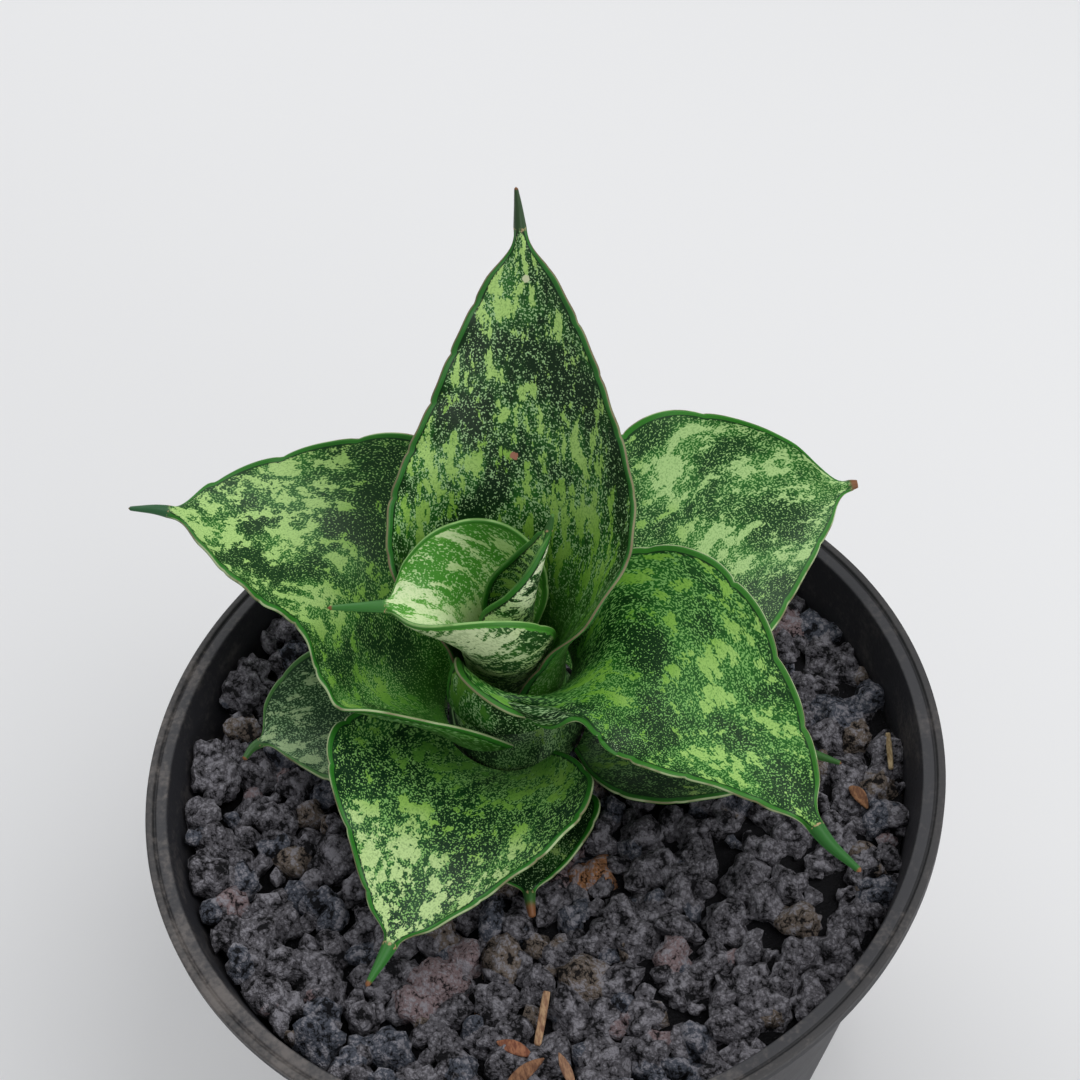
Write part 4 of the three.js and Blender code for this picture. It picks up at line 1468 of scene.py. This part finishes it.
LEAVES = (
    Leaf(
        "leaf_01_spear", azimuth=0, foot=(4.4, 29), length=33, rise=(84, 82, 77, 72, 69),
        turn=(0, 0, 5, 10), half=(8, 11.5, 11, 7.5, 4.2, 0.9), wrap=(155, 150, 135, 100, 70, 60),
        shift=(0, -1, -1.5, -1, 0), thickness=(1.6, 1.2), awl=(4, 74, 10, 0.8, 0.3), lobes=(2, 0.2),
    ),
    Leaf(
        "leaf_02_cup", azimuth=178, foot=(6, 20.5), length=34.5, rise=(88, 87, 80, 58, 29, 12),
        turn=(0, 0, 0), half=(15, 18.3, 24.3, 24.9, 15, 1.3), wrap=(156, 153, 144, 117, 78, 44),
        thickness=(2, 1.6), awl=(11, 4, -6, 1.3, 0.4), lobes=(3, 0.4),
    ),
    Leaf(
        "leaf_03_back", azimuth=60, foot=(9, 15), length=92, rise=(86, 70, 59, 61, 67, 71, 73),
        turn=(0, 0, 4, 9, 13, 17, 20), half=(27, 24.5, 32, 30, 25, 19.2, 14, 8, 1.2),
        wrap=(168, 128, 98, 66, 50, 41, 34, 28, 24), shift=(0, 0, 0, 1.2, 1.6, 1.2, 0),
        awl=(8.5, 84, 15, 1.1, 0.3), lobes=(9, 0.8),
    ),
    Leaf(
        "leaf_04_right_front", azimuth=-20, foot=(12.9, 19.2), length=72,
        rise=(88, 58, 14, 0, -5, -7, -8, -9, -9), turn=(0, -7, -15, -23, -31, -38, -43, -46, -48),
        half=(22, 20, 19.5, 22, 21, 17.5, 12.5, 7, 1.6), wrap=(98, 88.5, 44, 34, 30, 28, 27, 25, 24),
        shift=(-10, -11, 1.4, 2, 0, -2, -1, 0, 0), tilt=(0, 10, 14, 12, 8, 5, 2, 0, 0),
        awl=(11.5, -4, -36, 1.5, 0.5), collar=(12.8, 33.6, 74, -125, 88), lobes=(6, 0.8),
    ),
    Leaf(
        "leaf_05_left", azimuth=140, foot=(13.6, 10.8), length=70, rise=(80, 30, 28, 32, 30, 28, 27),
        turn=(0, 0, 4, 10, 18, 26, 34), half=(25, 29.5, 30.5, 26, 21, 13, 1.4),
        wrap=(106, 74, 54, 44, 36, 30, 26), shift=(6, 6, -3, -8, -3, 0, 0), tilt=(-4, -14, -8, -2, 0, 0, 0),
        awl=(8, 16, 38, 1.3, 0.4), lobes=(7, 0.9),
    ),
    Leaf(
        "leaf_06_right_back", azimuth=22, foot=(14.3, 7.5), length=70, rise=(40, 24, 16, 14, 14, 14, 12),
        turn=(0, 0, 0, -2, -6, -12, -20), half=(13, 21, 28, 29, 25, 15.5, 1.4),
        wrap=(50, 50, 44, 38, 34, 30, 26), shift=(0, 0, 3, 4, 6, 4, 0), tilt=(0, 5, 10, 12, 12),
        awl=(1.6, 10, -30, 1.2, 0.8), lobes=(5, 0.7),
    ),
    Leaf(
        "leaf_07_left_front", azimuth=-118, foot=(14.3, 5.1), length=49, rise=(40, 25, 15, 8, 4, 2, 0),
        turn=(0, 0, -2, -3, -4, -5, -5), half=(15, 27, 29, 24.5, 17, 10, 1.4),
        wrap=(60, 46, 42, 38, 32, 28, 24), shift=(0, -1.5, -2, -1.5, -0.5, 0, 0), awl=(9, 0, -8, 1.4, 0.4),
        lobes=(5, 0.8),
    ),
    Leaf(
        "leaf_08_right_low", azimuth=-23, foot=(14.6, 3.4), length=46, rise=(24, 14, 8, 4, 2, 0),
        turn=(0, 0, -1, -2, -3, -4), half=(7, 18, 22, 20, 14, 1.2), wrap=(28, 34, 32, 30, 26, 24),
        thickness=(2.2, 1.6), awl=(8, 0, -12, 1.2, 0.4), lobes=(4, 0.5),
    ),
    Leaf(
        "leaf_09_left_low", azimuth=174, foot=(14.6, 3.2), length=39.5, rise=(20, 14, 10, 6, 6, 4),
        turn=(0, 0, 0, 4, 14, 28), half=(7, 16, 20, 18, 13, 1.2), wrap=(28, 34, 32, 30, 26, 24),
        thickness=(2.2, 1.6), awl=(5, 0, 60, 1.1, 0.5), lobes=(4, 0.5),
    ),
    Leaf(
        "leaf_10_front_low", azimuth=-95, foot=(14.6, 2.2), length=28, rise=(8, 9, 8, 6, 4, 2), turn=(0, 0),
        half=(6, 12, 16, 14, 9, 1.2), wrap=(8, 20, 30, 30, 26, 24), thickness=(1.9, 1.5),
        awl=(5, -10, 4, 1.1, 0.6), lobes=(3, 0.5),
    ),
)

# The older leaves are dark with yellow-green blotches, the ones in the light are given paler ones as painted
# light, and the crown's young leaves are the palest, with dark streaks across their backs.
SKINS = {
    "leaf_01_spear": LeafSkin(
        Mottle(blotch_size=(3.0, 1.4)),
        Mottle(cover=0.05, dim="#5c8f3e", blotch="#a3c472", pale="#dbe6bf", blotch_size=(3.5, 1.3)),
        seed=1, band="#2c6a20", edge="#4f7d38", stain="#3f6a2c", dry="#4f7d38", band_width=0.6,
    ),
    # The cup's face has the young leaf's pale green, made brighter still as painted light against the shade
    # inside the cup
    "leaf_02_cup": LeafSkin(
        Mottle(
            "#4a9030", "#80ba54", "#b2d694", "#94c668", "#b4d688", "#d6e8b4", (1.8, 6.0), cover=0.08,
            mist=0.05,
        ),
        Mottle("#1c4217", "#3c6f2b", "#9dba82", "#6f984c", "#a3bf7c", "#c6d6a6", (6.0, 1.2), cover=0.03),
        seed=2, stain="#6f9450", band="#3c7a28", edge="#8cb46c", awl="#3a7232", tip_brown=1.2,
        band_width=0.55,
    ),
    "leaf_03_back": LeafSkin(
        Mottle(blotch_size=(1.9, 5.6)),
        seed=3, fresh_reach=36, band="#2f6b2a", edge="#75694f", awl="#31492c",
        marks=((-1.1, 82, 0.75, "#c9cfa8"), (2.5, 45, 0.8, "#a5705c")),
    ),
    "leaf_04_right_front": LeafSkin(
        Mottle(
            "#0b320d", "#25681c", "#76ab5a", "#4b872a", "#79ae3d", "#9cc66a", (2.6, 4.6), cover=-0.02,
            mist=0.02,
        ),
        seed=4, band="#337222", awl="#2c6429", tip_brown=0.9,
    ),
    "leaf_05_left": LeafSkin(
        Mottle(
            "#0e360f", "#2b6f1f", "#88b468", "#4b8530", "#82b445", "#abcf7c", (3.6, 4.2), cover=-0.02,
            tip_cover=0.08,
        ),
        seed=5, fresh_reach=14, fresh_share=0.3, tip_brown=0.3, band="#2c701f", awl="#2f5a38",
    ),
    "leaf_06_right_back": LeafSkin(
        Mottle(
            "#103c12", "#2f7424", "#8fba70", "#528c34", "#8ab94e", "#aed188", (3.0, 5.0), cover=-0.015,
            mist=0.02,
        ),
        seed=6, tip_brown=1.8, band="#327a22",
    ),
    "leaf_07_left_front": LeafSkin(
        Mottle(
            "#0c2e14", "#246022", "#80b162", "#4c8632", "#8ab94e", "#b6d28c", (3.6, 4.0), mist=0.04,
            tip_cover=0.08,
        ),
        seed=7, tip_brown=1.4, band="#2b6e20", awl="#2f6c2a",
    ),
    "leaf_08_right_low": LeafSkin(
        Mottle("#0e3212", "#22561e", "#6f9c5a", cover=-0.04, mist=0.02),
        seed=8, tip_brown=0.4,
    ),
    "leaf_09_left_low": LeafSkin(
        Mottle(
            "#1f3f24", "#365c31", "#7c9f70", "#557a44", "#73975a", "#9db886", (2.4, 4.6), cover=0.02,
            mist=0.04,
        ),
        seed=9, band="#4a7a3c",
    ),
    "leaf_10_front_low": LeafSkin(Mottle(cover=-0.03), seed=10, tip_brown=3.5),
}

LITTER = {
    "twig_front": (Fibre("#7d5a45", "#b0906f"), "straw_brown"),
    "twig_right": (Fibre("#7c6848", "#ad9a78"), "straw_tan"),
    "husk_front_1": (Fibre("#6d4030", "#9c6a4e"), "husk_red"),
    "husk_front_2": (Fibre("#5f3f2e", "#8f684c"), "husk_brown"),
    "husk_front_3": (Fibre("#745343", "#a37f62"), "husk_tan"),
    "husk_right": (Fibre("#634330", "#956c4c"), "husk_curl"),
}


def main() -> None:
    """Builds the plant, its pot and the studio, piece by piece."""
    logging.basicConfig(level=logging.INFO, format="%(name)s: %(message)s")
    Studio().build()
    log.info("studio: floor, lights and camera")
    pot = Pot()
    for assembly in (pot, GravelBed(pot), Rosette(LEAVES, SKINS), Litter(LITTER)):
        for piece in assembly.build():
            log.info("%s: %d faces", piece.name, len(piece.data.polygons))


if __name__ == "__main__":
    main()
